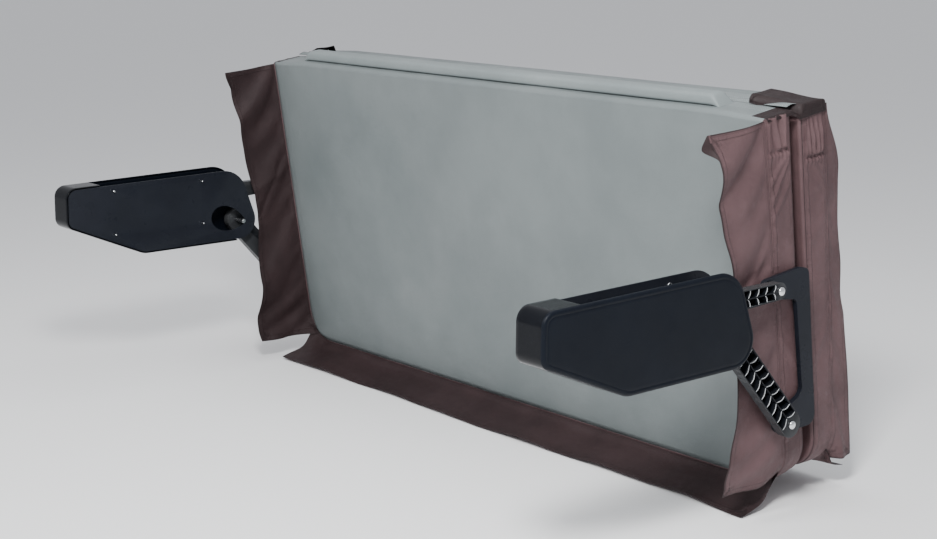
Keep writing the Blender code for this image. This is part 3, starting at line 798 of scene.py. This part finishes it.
def end_band(tag, at):
    """Fabric band sewn round the ends and the outer edge."""
    fine, coarse = 0.0042, 0.011
    stops, q = [], 0.0
    while q < BAND_RUN / 2:
        stops.append(q)
        q += fine if q < HALF_LEN else coarse
    stops += [BAND_RUN - q for q in reversed(stops)]
    rows = 34
    verts, uv, edge = [], [], []
    for r in range(rows + 1):
        w = r / rows
        for q in stops:
            x, s, nx, ns = outline(q)
            full = thick(s) - 0.0085
            t = full * w
            end = smooth(0.0, 0.6, abs(nx))
            seed = 0.0 if x > 0 else 9.0
            d = 0.0016 + (band_relief(s, w, tag, seed) - 0.0016) * end
            mid = math.sin(math.pi * w)
            loose = 0.0035 * mid + 0.0030 * rough(x * 4, w, 0.5, seed) * mid
            d += loose * (1 - end)
            d *= smooth(-0.02, 0.06, w) * smooth(1.01, 0.94, w)
            verts.append(at(x + nx * d, s + ns * d + 0.001 * (q in (0.0, BAND_RUN)), t))
            uv.append((q, t))
            edge.append((min(t, full - t) + 0.001, q))
    ob = add(tag + "_side_band", tag + "_cover", ["vinyl_brown", "lining"], verts,
             grid(len(stops) - 1, rows), uv=uv, edge=edge)
    orient(ob, at(0, 1, 0) - at(0, 0, 0))
    thicken(ob, 0.0011, material=1)
    mount(ob, "vinyl_brown")


def band_relief(s, w, tag, seed):
    """How far the end band stands out: gathers above a stitched line and
    slack diagonal folds below it.  w is 0 at the flap, 1 at the top skin."""
    near = tag == "rear"
    line = 0.104 if near else 0.152
    inner = smooth(0.0, 0.18, w) * smooth(1.0, 0.82, w)
    d = 0.0022 + 0.0030 * math.sin(math.pi * w)
    above = smooth(line + 0.002, line - 0.010, s)
    if near:
        # two full pleats that meet in a deep fold above the stitched line
        meet = 0.50 + 0.12 * s / line
        wide = 0.05 + 0.10 * smooth(line, 0.0, s)
        d += 0.0120 * above * inner * bump(w, meet - wide - 0.06, 0.085)
        d += 0.0130 * above * inner * bump(w, meet + wide + 0.03, 0.075)
        d -= 0.0060 * above * inner * bump(w, meet, 0.035)
        d += 0.0050 * above * inner * bump(w, 0.16 + 0.5 * s, 0.05)
    else:
        for centre, width in ((0.24, 0.045), (0.42, 0.045), (0.60, 0.045), (0.78, 0.045)):
            lean = centre + 0.05 * rough(s * 12, centre * 9, 0.0, seed)
            d += 0.0120 * bump(w, lean, width) * above * inner \
                * smooth(0.02, 0.10, s)
    d -= 0.0050 * bump(s, line + 0.002, 0.0055) * inner
    d += 0.0030 * bump(s, line + 0.015, 0.010) * inner
    # short puckers that run out of the stitched line
    d += 0.0020 * math.sin(w * 46 + seed) * inner * bump(s, line + 0.004, 0.020)
    for s0, slope, width, height in (
            (0.19, 0.060, 0.012, 0.0034), (0.225, 0.085, 0.016, 0.0040),
            (0.285, 0.070, 0.014, 0.0024), (0.40, -0.060, 0.024, 0.0026),
            (0.56, 0.080, 0.030, 0.0022), (0.74, -0.090, 0.026, 0.0030),
            (0.93, 0.070, 0.022, 0.0030)):
        strength = 1.0 if near else 0.55
        c = s0 - 0.035 + slope * (0.5 - w) * 1.6 + 0.004 * seed
        d += 1.5 * height * strength * bump(s, c, width) * inner
    d += 0.0034 * rough(s * 5.0, w * 1.1, 2.0, seed + (1 if near else 4)) * inner
    d += 0.0014 * rough(s * 19.0, w * 2.6, 3.0, seed) * inner
    return max(d, 0.0014)


def underside_relief(x, s, seed):
    """Soft hollows and long wrinkles in the grey vinyl."""
    low = 0.0030 * rough(x * 1.7, s * 2.3, 0.3, seed)
    long = 0.0018 * rough(x * 5.0 + s * 2.5, s * 1.1, 1.7, seed)
    fine = 0.0008 * rough(x * 16, s * 7, 2.9, seed)
    return 0.0035 + low + long + fine


HALVES = (("rear", rear, 1.0), ("front", front, 2.0))
for tag, at, seed in HALVES:
    cover_shell(tag, at, seed)
    grey_panel(tag, at, seed)
    seam_welt(tag, at)
    end_band(tag, at)

# ----------------------------------------------------------- flaps and trim
def cloth(name, body, nu, nv, place, size, out, turn=None, outer="vinyl_brown"):
    """Hemmed cloth with a lining; out is the way its outer face looks."""
    ob = sheet_piece(name, body, [outer, "lining"], nu, nv, place, size, True, turn)
    orient(ob, out)
    return ob


def line_it(ob, thickness, levels):
    """Give the cloth its thickness and a dark inner face."""
    thicken(ob, thickness, material=1)
    subdivide(ob, levels)


def points_of(me):
    co = np.empty(len(me.vertices) * 3, np.float32)
    me.vertices.foreach_get("co", co)
    return co.reshape(-1, 3).astype(float)


def drape(pieces, frames=22):
    """Short cloth simulation: the flaps are held along their seams, grow a
    little slack and settle under weak gravity.  pieces lists (object, number
    of points held, farthest that a point may move)."""
    start = {}
    for ob, held, _ in pieces:
        start[ob.name] = points_of(ob.data)
        pins = ob.vertex_groups.new(name="seam")
        pins.add(list(range(held)), 1.0, "REPLACE")
        mod = ob.modifiers.new("drape", "CLOTH")
        c = mod.settings
        c.quality, c.mass, c.air_damping = 6, 0.3, 2.0
        c.tension_stiffness, c.compression_stiffness = 20.0, 10.0
        c.shear_stiffness, c.bending_stiffness = 5.0, 6.0
        c.vertex_group_mass = "seam"
        c.shrink_min = -0.008
        c.effector_weights.gravity = 0.10
        mod.collision_settings.use_collision = False
        mod.point_cache.frame_start, mod.point_cache.frame_end = 1, frames
    scene = bpy.context.scene
    for f in range(1, frames + 1):
        scene.frame_set(f)
    deps = bpy.context.evaluated_depsgraph_get()
    moved = {row[0].name: points_of(row[0].evaluated_get(deps).data) for row in pieces}
    for ob, _, cap in pieces:
        rest = start[ob.name]
        d = moved[ob.name] - rest
        far = np.linalg.norm(d, axis=1)[:, None]
        ob.modifiers.clear()
        ob.vertex_groups.clear()
        ob.data.vertices.foreach_set("co", (rest + d / (1 + far / cap)).ravel())
        ob.data.update()
    scene.frame_set(1)


def seam_x(s):
    """x of the band's lower edge at s, round corner included."""
    b = min(1.0, max(0.0, (s - HALF_LEN + CORNER_R) / CORNER_R))
    return END_X - CORNER_R * (1 - math.sqrt(max(0.0, 1 - b * b)))


def between(table, v):
    """Smooth interpolation in a table of (v, value)."""
    for (a, fa), (b, fb) in zip(table, table[1:]):
        if v <= b:
            return fa + (fb - fa) * smooth(a, b, v)
    return table[-1][1]


FLAP_TOP = 0.006
DEPTH_TOP, DEPTH_UPPER = 0.22, 0.20      # rear flap: free corner, below its fold
DEPTH_HOUSING = 0.17             # narrowest, beside the lifter's housing
DEPTH_FOOT = 0.25                # widest, at the outer edge
REAR_DEPTH = ((FLAP_TOP, DEPTH_TOP), (0.06, DEPTH_UPPER), (0.57, DEPTH_HOUSING),
              (0.85, DEPTH_UPPER), (1.05, DEPTH_FOOT))
FRONT_DEPTH = ((FLAP_TOP, 0.01), (0.22, 0.06), (0.65, 0.07), (1.10, 0.10))
SIM_U, SIM_V = 98, 20            # cells of a side flap in the simulation
FLAPS = []


def side_flap(tag, at, side, nm, table, seed):
    deep = tag == "rear"
    length = 1.079 if deep else 1.094
    widest = max(d for _, d in table)
    lap = 0.006

    def place(u, v):
        s = FLAP_TOP + length * u
        d = between(table, s)
        seam = seam_x(s)
        if deep:
            s -= 0.020 * v * (1 - u) ** 8 + 0.042 * v * u ** 3
        w = lap - v * (lap + d)
        x = seam + (1.1885 - seam) * smooth(0.0, 0.55, v)
        x += 0.0025 * smooth(0.0, 0.05, v)
        lean = s - 0.35 * v * d
        wave = 0.007 * rough(lean * 3.0, v * 1.2, 0.4, seed)
        wave += 0.0035 * rough(lean * 8.0, v * 1.8, 1.4, seed)
        if deep:
            wave += math.sin(2 * math.pi * (lean / 0.31 + 0.13 * seed)) * 0.0040
            tight = min(1, bump(s, 0.475, 0.07) + bump(s, 0.925, 0.08))
            x += v ** 1.3 * wave * (1 - 0.75 * tight)
            # a crease where the flap bends back beside the housing
            x -= 0.006 * bump(s, 0.410 + 0.06 * v, 0.020) * smooth(0, 0.3, v)
            x += 0.004 * bump(s, 0.33 + 0.25 * v, 0.018) * smooth(0, 0.3, v)
            diag = s - 0.125 - 0.45 * v * d
            x += 0.0055 * math.sin(diag * 2 * math.pi / 0.15) * bump(s, 0.20, 0.13) \
                * smooth(0.05, 0.5, v)
            # the lower corner turns in
            x -= 0.050 * smooth(0.94, 1.10, s) * smooth(0.15, 0.85, v)
            x += 0.006 * math.sin((s - 0.3 * v * d) * 2 * math.pi / 0.085) \
                * bump(s, 0.995, 0.07) * smooth(0.0, 0.4, v) * (1 - 0.5 * v)
        else:
            x += (0.3 + 0.7 * v ** 1.3) * wave * 1.1 - 0.010 * v * smooth(0.05, 0.25, s)
        s += 0.004 * rough(s * 6, v, 3.0, seed) * v
        return at(side * x, s, w)

    def turned(u):
        """The top free corner, folded back to a small point."""
        s = FLAP_TOP + length * u
        wide = 0.0022 + 0.040 * smooth(0.0, 0.050, s) * smooth(0.068, 0.054, s) * deep
        return at(side * (END_X - 0.80 * wide), s, -0.6 * wide) - at(side * END_X, s, 0)

    ob = cloth("%s_%s_skirt_flap" % (tag, nm), tag + "_cover", SIM_U, SIM_V, place,
               (length, widest), Vector((side, 0, 0)), turned)
    FLAPS.append((ob, (SIM_U + 1) * 2, 0.014 if deep else 0.010))
    squash = dict(axis=tuple(OUT), anchor=tuple(START), keep=0.54) if deep else None
    mount(ob, "vinyl_brown", ["%s_%s_flap" % (tag, nm)], squash)
    area = length * sum(between(table, FLAP_TOP + length * (k + 0.5) / 60) + lap
                        for k in range(60)) / 60
    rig.sheet(ob, flat=(widest + lap, length), held="hung",
             rests_on=[tag + "_cover_shell"], area=area)


def outer_flap(tag, at, seed):
    """Flap of the outer edge, which is at the bottom of the stored cover."""
    half_w = 1.165
    depth = 0.178 if tag == "rear" else 0.088
    lap = 0.006

    def place(u, v):
        x = (-1 + 2 * u) * half_w
        over = max(0.0, (abs(x) - (END_X - CORNER_R)) / CORNER_R)
        s = HALF_LEN - CORNER_R * (1 - math.sqrt(max(0, 1 - over * over)))
        s += (HALF_LEN - s) * smooth(0.0, 0.5, v)
        w = lap - v * (lap + depth * (1 - 0.10 * rough(x * 2, 0, 0, seed)))
        s += 0.0025 * smooth(0, 0.05, v)
        wave = 0.007 * rough(x * 3.2, v * 0.8, 0.0, seed + 4) \
            + 0.0035 * math.sin(x * 17 + seed) + 0.002 * rough(x * 14, v * 2, 1, seed)
        sag = 0.004 + 0.012 * v if tag == "rear" else 0.003 + 0.022 * v
        s += (wave + sag) * smooth(0.0, 0.35, v)
        return at(x, s, w)

    ob = cloth(tag + "_outer_skirt_flap", tag + "_cover", 2 * SIM_U, SIM_V // 2, place,
               (2 * half_w, depth + lap), DOWN)
    FLAPS.append((ob, (2 * SIM_U + 1) * 2, 0.010))
    mount(ob, "vinyl_brown", [tag + "_outer_flap"])
    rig.sheet(ob, flat=(2 * half_w, depth + lap), held="hung",
             rests_on=[tag + "_cover_shell"])


for side, nm in SIDES:
    side_flap("rear", rear, side, nm, REAR_DEPTH, 1.0 if side > 0 else 2.6)
    side_flap("front", front, side, nm, FRONT_DEPTH, 3.2 if side > 0 else 4.9)
for row in HALVES:
    outer_flap(*row)
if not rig.quick():
    drape(FLAPS)
for row in FLAPS:
    line_it(row[0], 0.0014, 2)


def tongue(tag, at, side, nm, seed, inner, drop, skew, raised):
    """End of a band folded over the hinge end, seen from above as a skewed
    strip that hangs over the band by drop."""
    across = END_X + 0.0075 - inner
    total = across + drop
    deep = T_HINGE - 0.006

    def place(u, v):
        q = v * total
        share = max(0.0, 1 - q / across)
        t = 0.006 + deep * u + skew * share
        high = raised * (0.25 + 0.75 * share)
        x, s = inner + q, -high
        if q > across:
            x, s = inner + across, -high + (q - across)
        r = 0.006
        turn = max(0.0, 1 - abs(q - across) / r)
        x -= 0.0022 * turn
        s += 0.0022 * turn
        top = smooth(across, across - 0.03, q)
        hang = smooth(across, total, q)
        if skew:
            s += 0.0035 * rough(x * 15, t * 15, 0.2, seed) * top
            # the fold side turns down over the gap
            s += (0.024 + 0.016 * (1 - share)) * smooth(0.84, 1.0, u) \
                * smooth(total, across, q)
            s += (high - 0.002) * smooth(0.10, 0.0, u) * top
            t += 0.006 * smooth(0.84, 0.92, u) * smooth(1.0, 0.92, u)
        t += 0.012 * u * hang
        x += 0.0030 * (1 + rough(t * 24, q * 12, 1.1, seed)) * hang
        s += 0.0035 * rough(t * 9, 0.0, 4.1, seed) * hang
        return at(side * x, s, t)

    name = "%s_%s_hinge_tongue" % (tag, nm)
    # The tongue's outer face takes the darkened brown fabric: painted shade over the hinge end.
    ob = cloth(name, tag + "_cover", 40, 48, place, (deep, total),
               Vector((side * 0.6, 0, 0.8)), outer="shaded_brown_fabric")
    line_it(ob, 0.0018, 1)
    mount(ob, "vinyl_brown", ["front_%s_end_tongue" % nm] if tag == "front" else [])
    flat = (deep + 0.024 if skew else deep, total)
    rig.sheet(ob, flat=flat, held="folded", rests_on=[tag + "_cover_shell"])


for side, nm in SIDES:
    tongue("front", front, side, nm, 1.0 + side, 1.055, 0.037, 0.056, 0.0320)
    tongue("rear", rear, side, nm, 6.0 + side, 1.138, 0.012, 0.0, 0.0030)


def hinge_sheet():
    r_t = T_HINGE - 0.004
    pa, pb = rear(0, -0.0006, r_t), front(0, -0.0006, r_t)

    def place(u, v):
        x = (-1 + 2 * u) * (END_X - 0.010)
        rise = 0.005 * (1 - abs(2 * v - 1) ** 1.6)
        rise += 0.0016 * rough(x * 9, v * 2, 0.0, 5.0) * math.sin(math.pi * v)
        return pa + (pb - pa) * v - FOLD_DOWN * rise + Vector((x, 0, 0))

    wide = sum((place(0.5, (k + 1) / 40) - place(0.5, k / 40)).length for k in range(40))
    ob = sheet_piece("hinge_fabric", "rear_cover", ["vinyl_grey", "grey_dots"], 160, 12,
                     place, (2 * END_X - 0.02, wide))
    thicken(ob, 0.0012, 0.0)
    for face in ob.data.polygons:
        face.material_index = int(face.center.x > 0.86)
    ob["blend_with"] = "front_cover"
    mount(ob, "vinyl_grey", ["hinge_strip"])
    return ob, pa, pb, wide


def blend_hinge(ob, pa, pb, wide):
    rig.blend(ob, "rear_cover", "front_cover", start=tuple(pa), end=tuple(pb))
    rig.sheet(ob, flat=(wide, 2 * END_X - 0.02), held="folded",
             rests_on=["rear_cover_shell", "front_cover_shell"])


hinge_parts = hinge_sheet()


def seal_bar():
    """Foam-filled bar along the rear hinge end, bevelled at its ends."""
    near = 0.030
    prof = [(near, 0.0), (near + 0.0005, 0.010), (near + 0.0015, 0.022),
            (near + 0.0035, 0.031), (near + 0.008, 0.0352), (near + 0.016, 0.0365),
            (near + 0.032, 0.0372), (near + 0.046, 0.0365), (near + 0.054, 0.0350),
            (near + 0.0595, 0.0305), (near + 0.064, 0.020), (near + 0.0685, 0.008),
            (near + 0.070, 0.0)]
    x0, x1, bevel = -1.03, 1.00, 0.030
    stops = [(x0, 0.0), (x0 + 0.002, 0.10), (x0 + bevel * 0.5, 0.56),
             (x0 + bevel * 0.9, 0.95), (x0 + bevel * 1.15, 1.0)]
    mid = 70
    stops += [(x0 + 0.06 + (x1 - x0 - 0.12) * k / mid, 1.0) for k in range(mid + 1)]
    stops += [(x1 - bevel * 1.15, 1.0), (x1 - bevel * 0.9, 0.95),
              (x1 - bevel * 0.5, 0.56), (x1 - 0.002, 0.10), (x1, 0.0)]
    verts = []
    for x, full in stops:
        for t, h in prof:
            squeeze = 0.0012 * rough(x * 6, t * 30, 0, 3.0) * full
            verts.append(rear(x, -0.0008 - h * full - squeeze * (h > 0), t))
    m = len(prof)
    faces = grid(m, len(stops) - 1, True)
    faces += [tuple(range(m)), tuple(range(len(verts) - m, len(verts)))]
    ob = add("heat_seal_cushion", "rear_cover", "grey_bar", verts, faces)
    agree(ob)
    subdivide(ob)
    mount(ob, "vinyl_grey", ["heat_seal_bar"])
    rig.padded(ob, fill=0.95)


seal_bar()


def grab_handle(tag, at):
    hx, width = 0.11, 0.038
    mid = thick(HALF_LEN) * 0.62

    def place(u, v):
        x = -hx + 2 * hx * u
        lift = 0.0022 + 0.019 * smooth(0.10, 0.24, u) * smooth(0.90, 0.76, u)
        t = mid - width / 2 + width * v
        lift += 0.001 * math.cos(math.pi * (v - 0.5))
        return at(x, HALF_LEN + 0.0032 + lift, t)

    ob = sheet_piece(tag + "_webbing_handle", tag + "_cover", "webbing", 60, 8, place,
                     (2 * hx, width))
    orient(ob, DOWN)
    thicken(ob, 0.0022)
    subdivide(ob)
    mount(ob, "webbing", [tag + "_grab_handle"])


for tag, at, _ in HALVES:
    grab_handle(tag, at)


# --------------------------------------------------------------- hard pieces
def refine(node, name, mat, bevel=0.0008, segments=2, angle=25.0, warp=None, slot=None):
    """A CAD node's shape with its edges broken, standing for the node."""
    src = frame["nodes"][node]
    me = src.data.copy()
    me.name = name
    bm = bmesh.new()
    bm.from_mesh(me)
    bmesh.ops.remove_doubles(bm, verts=bm.verts, dist=1e-5)
    bmesh.ops.dissolve_limit(bm, angle_limit=math.radians(1.0), verts=bm.verts,
                             edges=bm.edges)
    if warp:
        for x in (-1.10, -SLUMP_X, SLUMP_X, 1.10):
            bmesh.ops.bisect_plane(bm, geom=bm.verts[:] + bm.edges[:] + bm.faces[:],
                                   plane_co=(x, 0, 0), plane_no=(1, 0, 0), dist=1e-6)
        for v in bm.verts:
            v.co = warp(v.co)
    bm.to_mesh(me)
    bm.free()
    me.materials.clear()
    me.materials.append(MAT[mat])
    me.polygons.foreach_set("use_smooth", [True] * len(me.polygons))
    ob = place_object(name, me)
    ob["ride_on"] = src["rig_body"]
    bev = ob.modifiers.new("edges", "BEVEL")
    bev.width, bev.segments = bevel, segments
    bev.limit_method, bev.angle_limit = "ANGLE", math.radians(angle)
    bev.use_clamp_overlap = True
    weigh_normals(ob)
    return mount(ob, slot or mat, [node])


def lathe(name, node, side, centre, profile, mat, segments=48):
    """Turned piece about a line along X; profile runs from (x, r) to (x, r)."""
    verts = []
    for x, r in profile:
        for k in range(segments):
            a = 2 * math.pi * k / segments
            verts.append((side * x, centre[0] + r * math.cos(a),
                          centre[1] + r * math.sin(a)))
    faces = grid(segments, len(profile) - 1, True)
    faces.append(tuple(range(segments)))
    last = len(verts) - segments
    faces.append(tuple(range(last, last + segments)))
    ob = add(name, frame["nodes"][node]["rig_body"], mat, verts, faces)
    agree(ob)
    weigh_normals(ob)
    return mount(ob, mat, [node])


def rounded(points, radii, n=20):
    """Polygon with its corners rounded."""
    out = []
    for i, (p, r) in enumerate(zip(points, radii)):
        p, a, b = Vector(p), Vector(points[i - 1]), Vector(points[(i + 1) % len(points)])
        ua, ub = (a - p).normalized(), (b - p).normalized()
        ang = ua.angle(ub)
        d = min(r / math.tan(ang / 2), 0.49 * (a - p).length, 0.49 * (b - p).length)
        rr = d * math.tan(ang / 2)
        c = p + (ua + ub).normalized() * rr / math.sin(ang / 2)
        p0, p1 = p + ua * d - c, p + ub * d - c
        t0 = math.atan2(p0.y, p0.x)
        dt = (math.atan2(p1.y, p1.x) - t0 + math.pi) % (2 * math.pi) - math.pi
        for k in range(n + 1):
            t = t0 + dt * k / n
            out.append((c.x + rr * math.cos(t), c.y + rr * math.sin(t)))
    return out


def resample(loop, step):
    """Closed loop with nearly even spacing."""
    pts = [Vector(p) for p in loop]
    out = []
    for a, b in zip(pts, pts[1:] + pts[:1]):
        n = max(1, round((b - a).length / step))
        out += [a.lerp(b, k / n) for k in range(n)]
    return out


def inset(loop, d):
    """Loop moved inward by d; the loop runs clockwise."""
    out = []
    m = len(loop)
    for i in range(m):
        a, p, b = loop[i - 1], loop[i], loop[(i + 1) % m]
        n1 = Vector((p.y - a.y, a.x - p.x)).normalized()
        n2 = Vector((b.y - p.y, p.x - b.x)).normalized()
        out.append(p + (n1 + n2) * d / max(0.2, 1 + n1.dot(n2)))
    return out


def housing(side, nm):
    """Moulded shell: face with a rolled edge and a raised border, and a wall
    along the closed part of the rim."""
    loop = resample(rounded(HOUSING, HOUSING_R), 0.006)
    face_x, back_x, roll = 1.270, 1.1706, 0.009

    def walled(p):
        end = p.x < -0.345
        foot = p.y < -0.12 and p.x < 0.215
        slope = p.y < 0.06 and p.x < -0.05
        return end or foot or slope

    rings = []                                   # (inset, x)
    for k in range(7):
        a = math.pi / 2 * k / 6
        rings.append((roll * (1 - math.cos(a)), face_x - roll * (1 - math.sin(a))))
    rings += [(0.0125, face_x), (0.0135, face_x - 0.0011), (0.0165, face_x - 0.0011),
              (0.0175, face_x - 0.0002), (0.024, face_x - 0.0002)]
    verts = []
    n = len(loop)
    for d, x in rings:
        verts += [(side * x, p.x, p.y) for p in inset(loop, d)]
    faces = grid(n, len(rings) - 1, True)
    faces.append(tuple(range(len(verts) - n, len(verts))))
    steps = 8
    wall = {}
    for j in range(steps):
        x = back_x + (face_x - roll - back_x) * j / steps
        for k, p in enumerate(loop):
            if walled(p):
                wall[j, k] = len(verts)
                verts.append((side * x, p.x, p.y))
    for k, p in enumerate(loop):
        k2 = (k + 1) % n
        if walled(p) and walled(loop[k2]):
            wall[steps, k], wall[steps, k2] = k, k2
            for j in range(steps):
                faces.append((wall[j, k], wall[j, k2], wall[j + 1, k2], wall[j + 1, k]))
    flat = (len(rings) - 1) * n + 1
    ob = add(nm + "_housing_cover", "housings", ["black_plastic", "gloss_plastic"],
             verts, faces, [0] * flat + [1] * (len(faces) - flat))
    agree(ob, lambda bm: max(bm.faces, key=lambda f: f.calc_area()).normal.x * side < 0)
    thicken(ob, 0.0034)
    weigh_normals(ob)
    mount(ob, "black_plastic", [nm + "_housing_shell"])


def cords(name, body, mat, paths, radius, sides=6):
    """Several round cords as one piece."""
    verts, faces = [], []
    for path in paths:
        base = len(verts)
        n = len(path)
        for k, p in enumerate(path):
            d = (path[min(k + 1, n - 1)] - path[max(k - 1, 0)]).normalized()
            out = Vector((1, 0, 0))
            across = d.cross(out)
            thin = radius * (0.45 + 0.55 * math.sin(math.pi * k / (n - 1)))
            for q in range(sides):
                a = 2 * math.pi * q / sides
                verts.append(p + out * radius * math.cos(a) + across * thin * math.sin(a))
        faces += [tuple(base + i for i in f) for f in grid(sides, n - 1, True)]
        faces.append(tuple(range(base, base + sides))[::-1])
        faces.append(tuple(range(base + (n - 1) * sides, base + n * sides)))
    return add(name, body, mat, verts, faces)


def rib_highlight_cords(name, body, side, a, b, wa, wb, count, start, stop):
    """Light grey cords along the curved edges of the ribs between a link's cells: painted highlights."""
    a, b = Vector((0, *a)), Vector((0, *b))
    u = (b - a).normalized()
    v = Vector((0, -u.z, u.y))
    cell = (stop - start) / count
    paths = []
    for k in range(count + 1):
        at_u = start + k * cell
        wide = wa + (wb - wa) * at_u / (b - a).length - 0.0045
        for sign in (1, -1):
            path = []
            for i in range(9):
                f = i / 8
                reach = 0.0020 + (wide - 0.0020) * f
                bow = 0.35 * wide * f + 0.16 * wide * math.sin(math.pi * f)
                p = a + u * (at_u + bow) + v * sign * reach
                path.append(p + Vector((side * LINK_FACE, 0, 0)))
            paths.append(path)
    ob = cords(name, body, "rib_edge", paths, 0.0012)
    mount(ob, "black_plastic")


def pin_head(x0, r_shaft, x1, r_head, high):
    """Shaft up to x1, then a domed head of that height."""
    prof = [(x0, r_shaft * 0.85), (x0 + 0.0006, r_shaft), (x1, r_shaft),
            (x1, r_head - 0.0004), (x1 + 0.0004, r_head), (x1 + high * 0.35, r_head),
            (x1 + high * 0.42, r_head * 0.97)]
    for k in range(1, 7):
        a = math.pi / 2 * k / 6
        prof.append((x1 + high * (0.42 + 0.58 * math.sin(a)),
                     max(0.0004, r_head * 0.97 * math.cos(a))))
    return prof


def lifter(side, nm):
    housing(side, nm)
    refine(nm + "_back_plate", nm + "_mounting_plate", "black_steel")
    refine(nm + "_carrier_plate", nm + "_carrier_bracket", "black_steel", 0.0018, 3)
    for part in ("upper", "lower"):
        refine("%s_%s_link" % (nm, part), "%s_%s_swing_link" % (nm, part),
               "rib_plastic", 0.0009, slot="black_plastic")
    up, low = JOINT["cover_tilt"]["pos_m"], JOINT["right_lower_swing"]["pos_m"]
    rib_highlight_cords(nm + "_upper_link_ribs", nm + "_upper_arm", side, (0.0, 0.0), up[1:],
              0.034, 0.024, 10, 0.042, 0.396)
    rib_highlight_cords(nm + "_lower_link_ribs", nm + "_lower_arm", side, LOW_GUIDE,
              low[1:], 0.038, 0.038, 9, 0.022, 0.346)
    refine(nm + "_gas_yoke", nm + "_gas_spring_yoke", "black_steel")
    for node, steel in (("gas_cylinder", "black_steel"), ("gas_rod", "bright_steel")):
        refine(nm + "_" + node, nm + "_" + node + "_body", steel, 0.0004)
    for part, centre in (("upper", up), ("lower", low)):
        lathe("%s_%s_pivot_bolt" % (nm, part), "%s_%s_bolt" % (nm, part), side,
              centre[1:], pin_head(*BOLT), "bright_steel")
    for node in ("ground_shaft", "guide_pin", "crank_pin"):
        refine(nm + "_" + node, nm + "_" + node + "_turned", "bright_steel", 0.0005)
    for k in range(1, 5):
        refine("%s_wall_screw_%d" % (nm, k), "%s_fixing_screw_%d" % (nm, k),
               "bright_steel", 0.0004)


def slumped(tag):
    """Moves a point of a half's core as its corners sink."""
    def move(p):
        q = p - FOLD_OUT * (2 * (p - HINGE).dot(FOLD_OUT)) if tag == "front" else p
        s, t = (q - START).dot(DOWN), (q - START).dot(OUT)
        return (front if tag == "front" else rear)(q.x, s, t)
    return move


for side, nm in SIDES:
    lifter(side, nm)
for nm in ("upper", "lower"):
    refine(nm + "_cross_tube", nm + "_support_tube", "black_steel", 0.0004, angle=40.0)
for tag in ("rear", "front"):
    sink = slumped(tag)
    refine(tag + "_foam_core", tag + "_foam_slab", "foam", 0.004, 3, warp=sink)
    refine(tag + "_steel_channel", tag + "_hinge_channel", "zinc_steel", 0.0003, 1,
           warp=sink)


# --------------------------------------------------------- camera and lights
def aim(ob, target):
    ob.rotation_euler = (Vector(target) - ob.location).to_track_quat("-Z", "Y").to_euler()


def camera():
    cam = place_object("camera", bpy.data.cameras.new("camera"), (4.16, -3.157, 1.0225))
    aim(cam, (0.20, 0.19, -0.065))
    cam.data.sensor_width = 36.0
    cam.data.lens = 65.0
    bpy.context.scene.camera = cam


def area_light(name, at, target, size, energy, color=(1, 1, 1)):
    data = bpy.data.lights.new(name, "AREA")
    data.shape, data.size, data.size_y = "RECTANGLE", size[0], size[1]
    data.energy, data.color = energy, color
    aim(place_object(name, data, at), target)


def studio():
    size = 60.0
    me = bpy.data.meshes.new("floor")
    n = 8
    me.from_pydata([(-size + 2 * size * i / n, -size + 2 * size * j / n, FLOOR_Z)
                    for j in range(n + 1) for i in range(n + 1)], [], grid(n, n))
    floor = place_object("floor", me)
    pale = Shader("pale_floor", (0.92, 0.92, 0.92), 0.85)
    pale.set(Specular_IOR_Level=0.2)
    me.materials.append(pale.mat)
    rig.stage(floor)
    world = bpy.data.worlds.new("pale")
    world.use_nodes = True
    back = world.node_tree.nodes["Background"]
    back.inputs["Color"].default_value = (0.93, 0.95, 1.0, 1)
    back.inputs["Strength"].default_value = 0.66
    bpy.context.scene.world = world
    area_light("key", (-0.6, -4.4, 3.6), (0.2, 0.4, 0.0), (2.2, 1.6), 150)
    area_light("side", (2.7, -2.1, 2.7), (1.1, 0.4, 0.1), (0.8, 0.8), 230)
    area_light("top", (0.3, 0.8, 3.6), (0.3, 0.4, 0.0), (3.6, 2.4), 45)


settle_all()
blend_hinge(*hinge_parts)
camera()
studio()

lo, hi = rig.bounds()
json.dump({"cad": [list(map(float, c)) for c in cad_box],
           "visual": [list(map(float, lo)), list(map(float, hi))]},
          open("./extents.json", "w"))
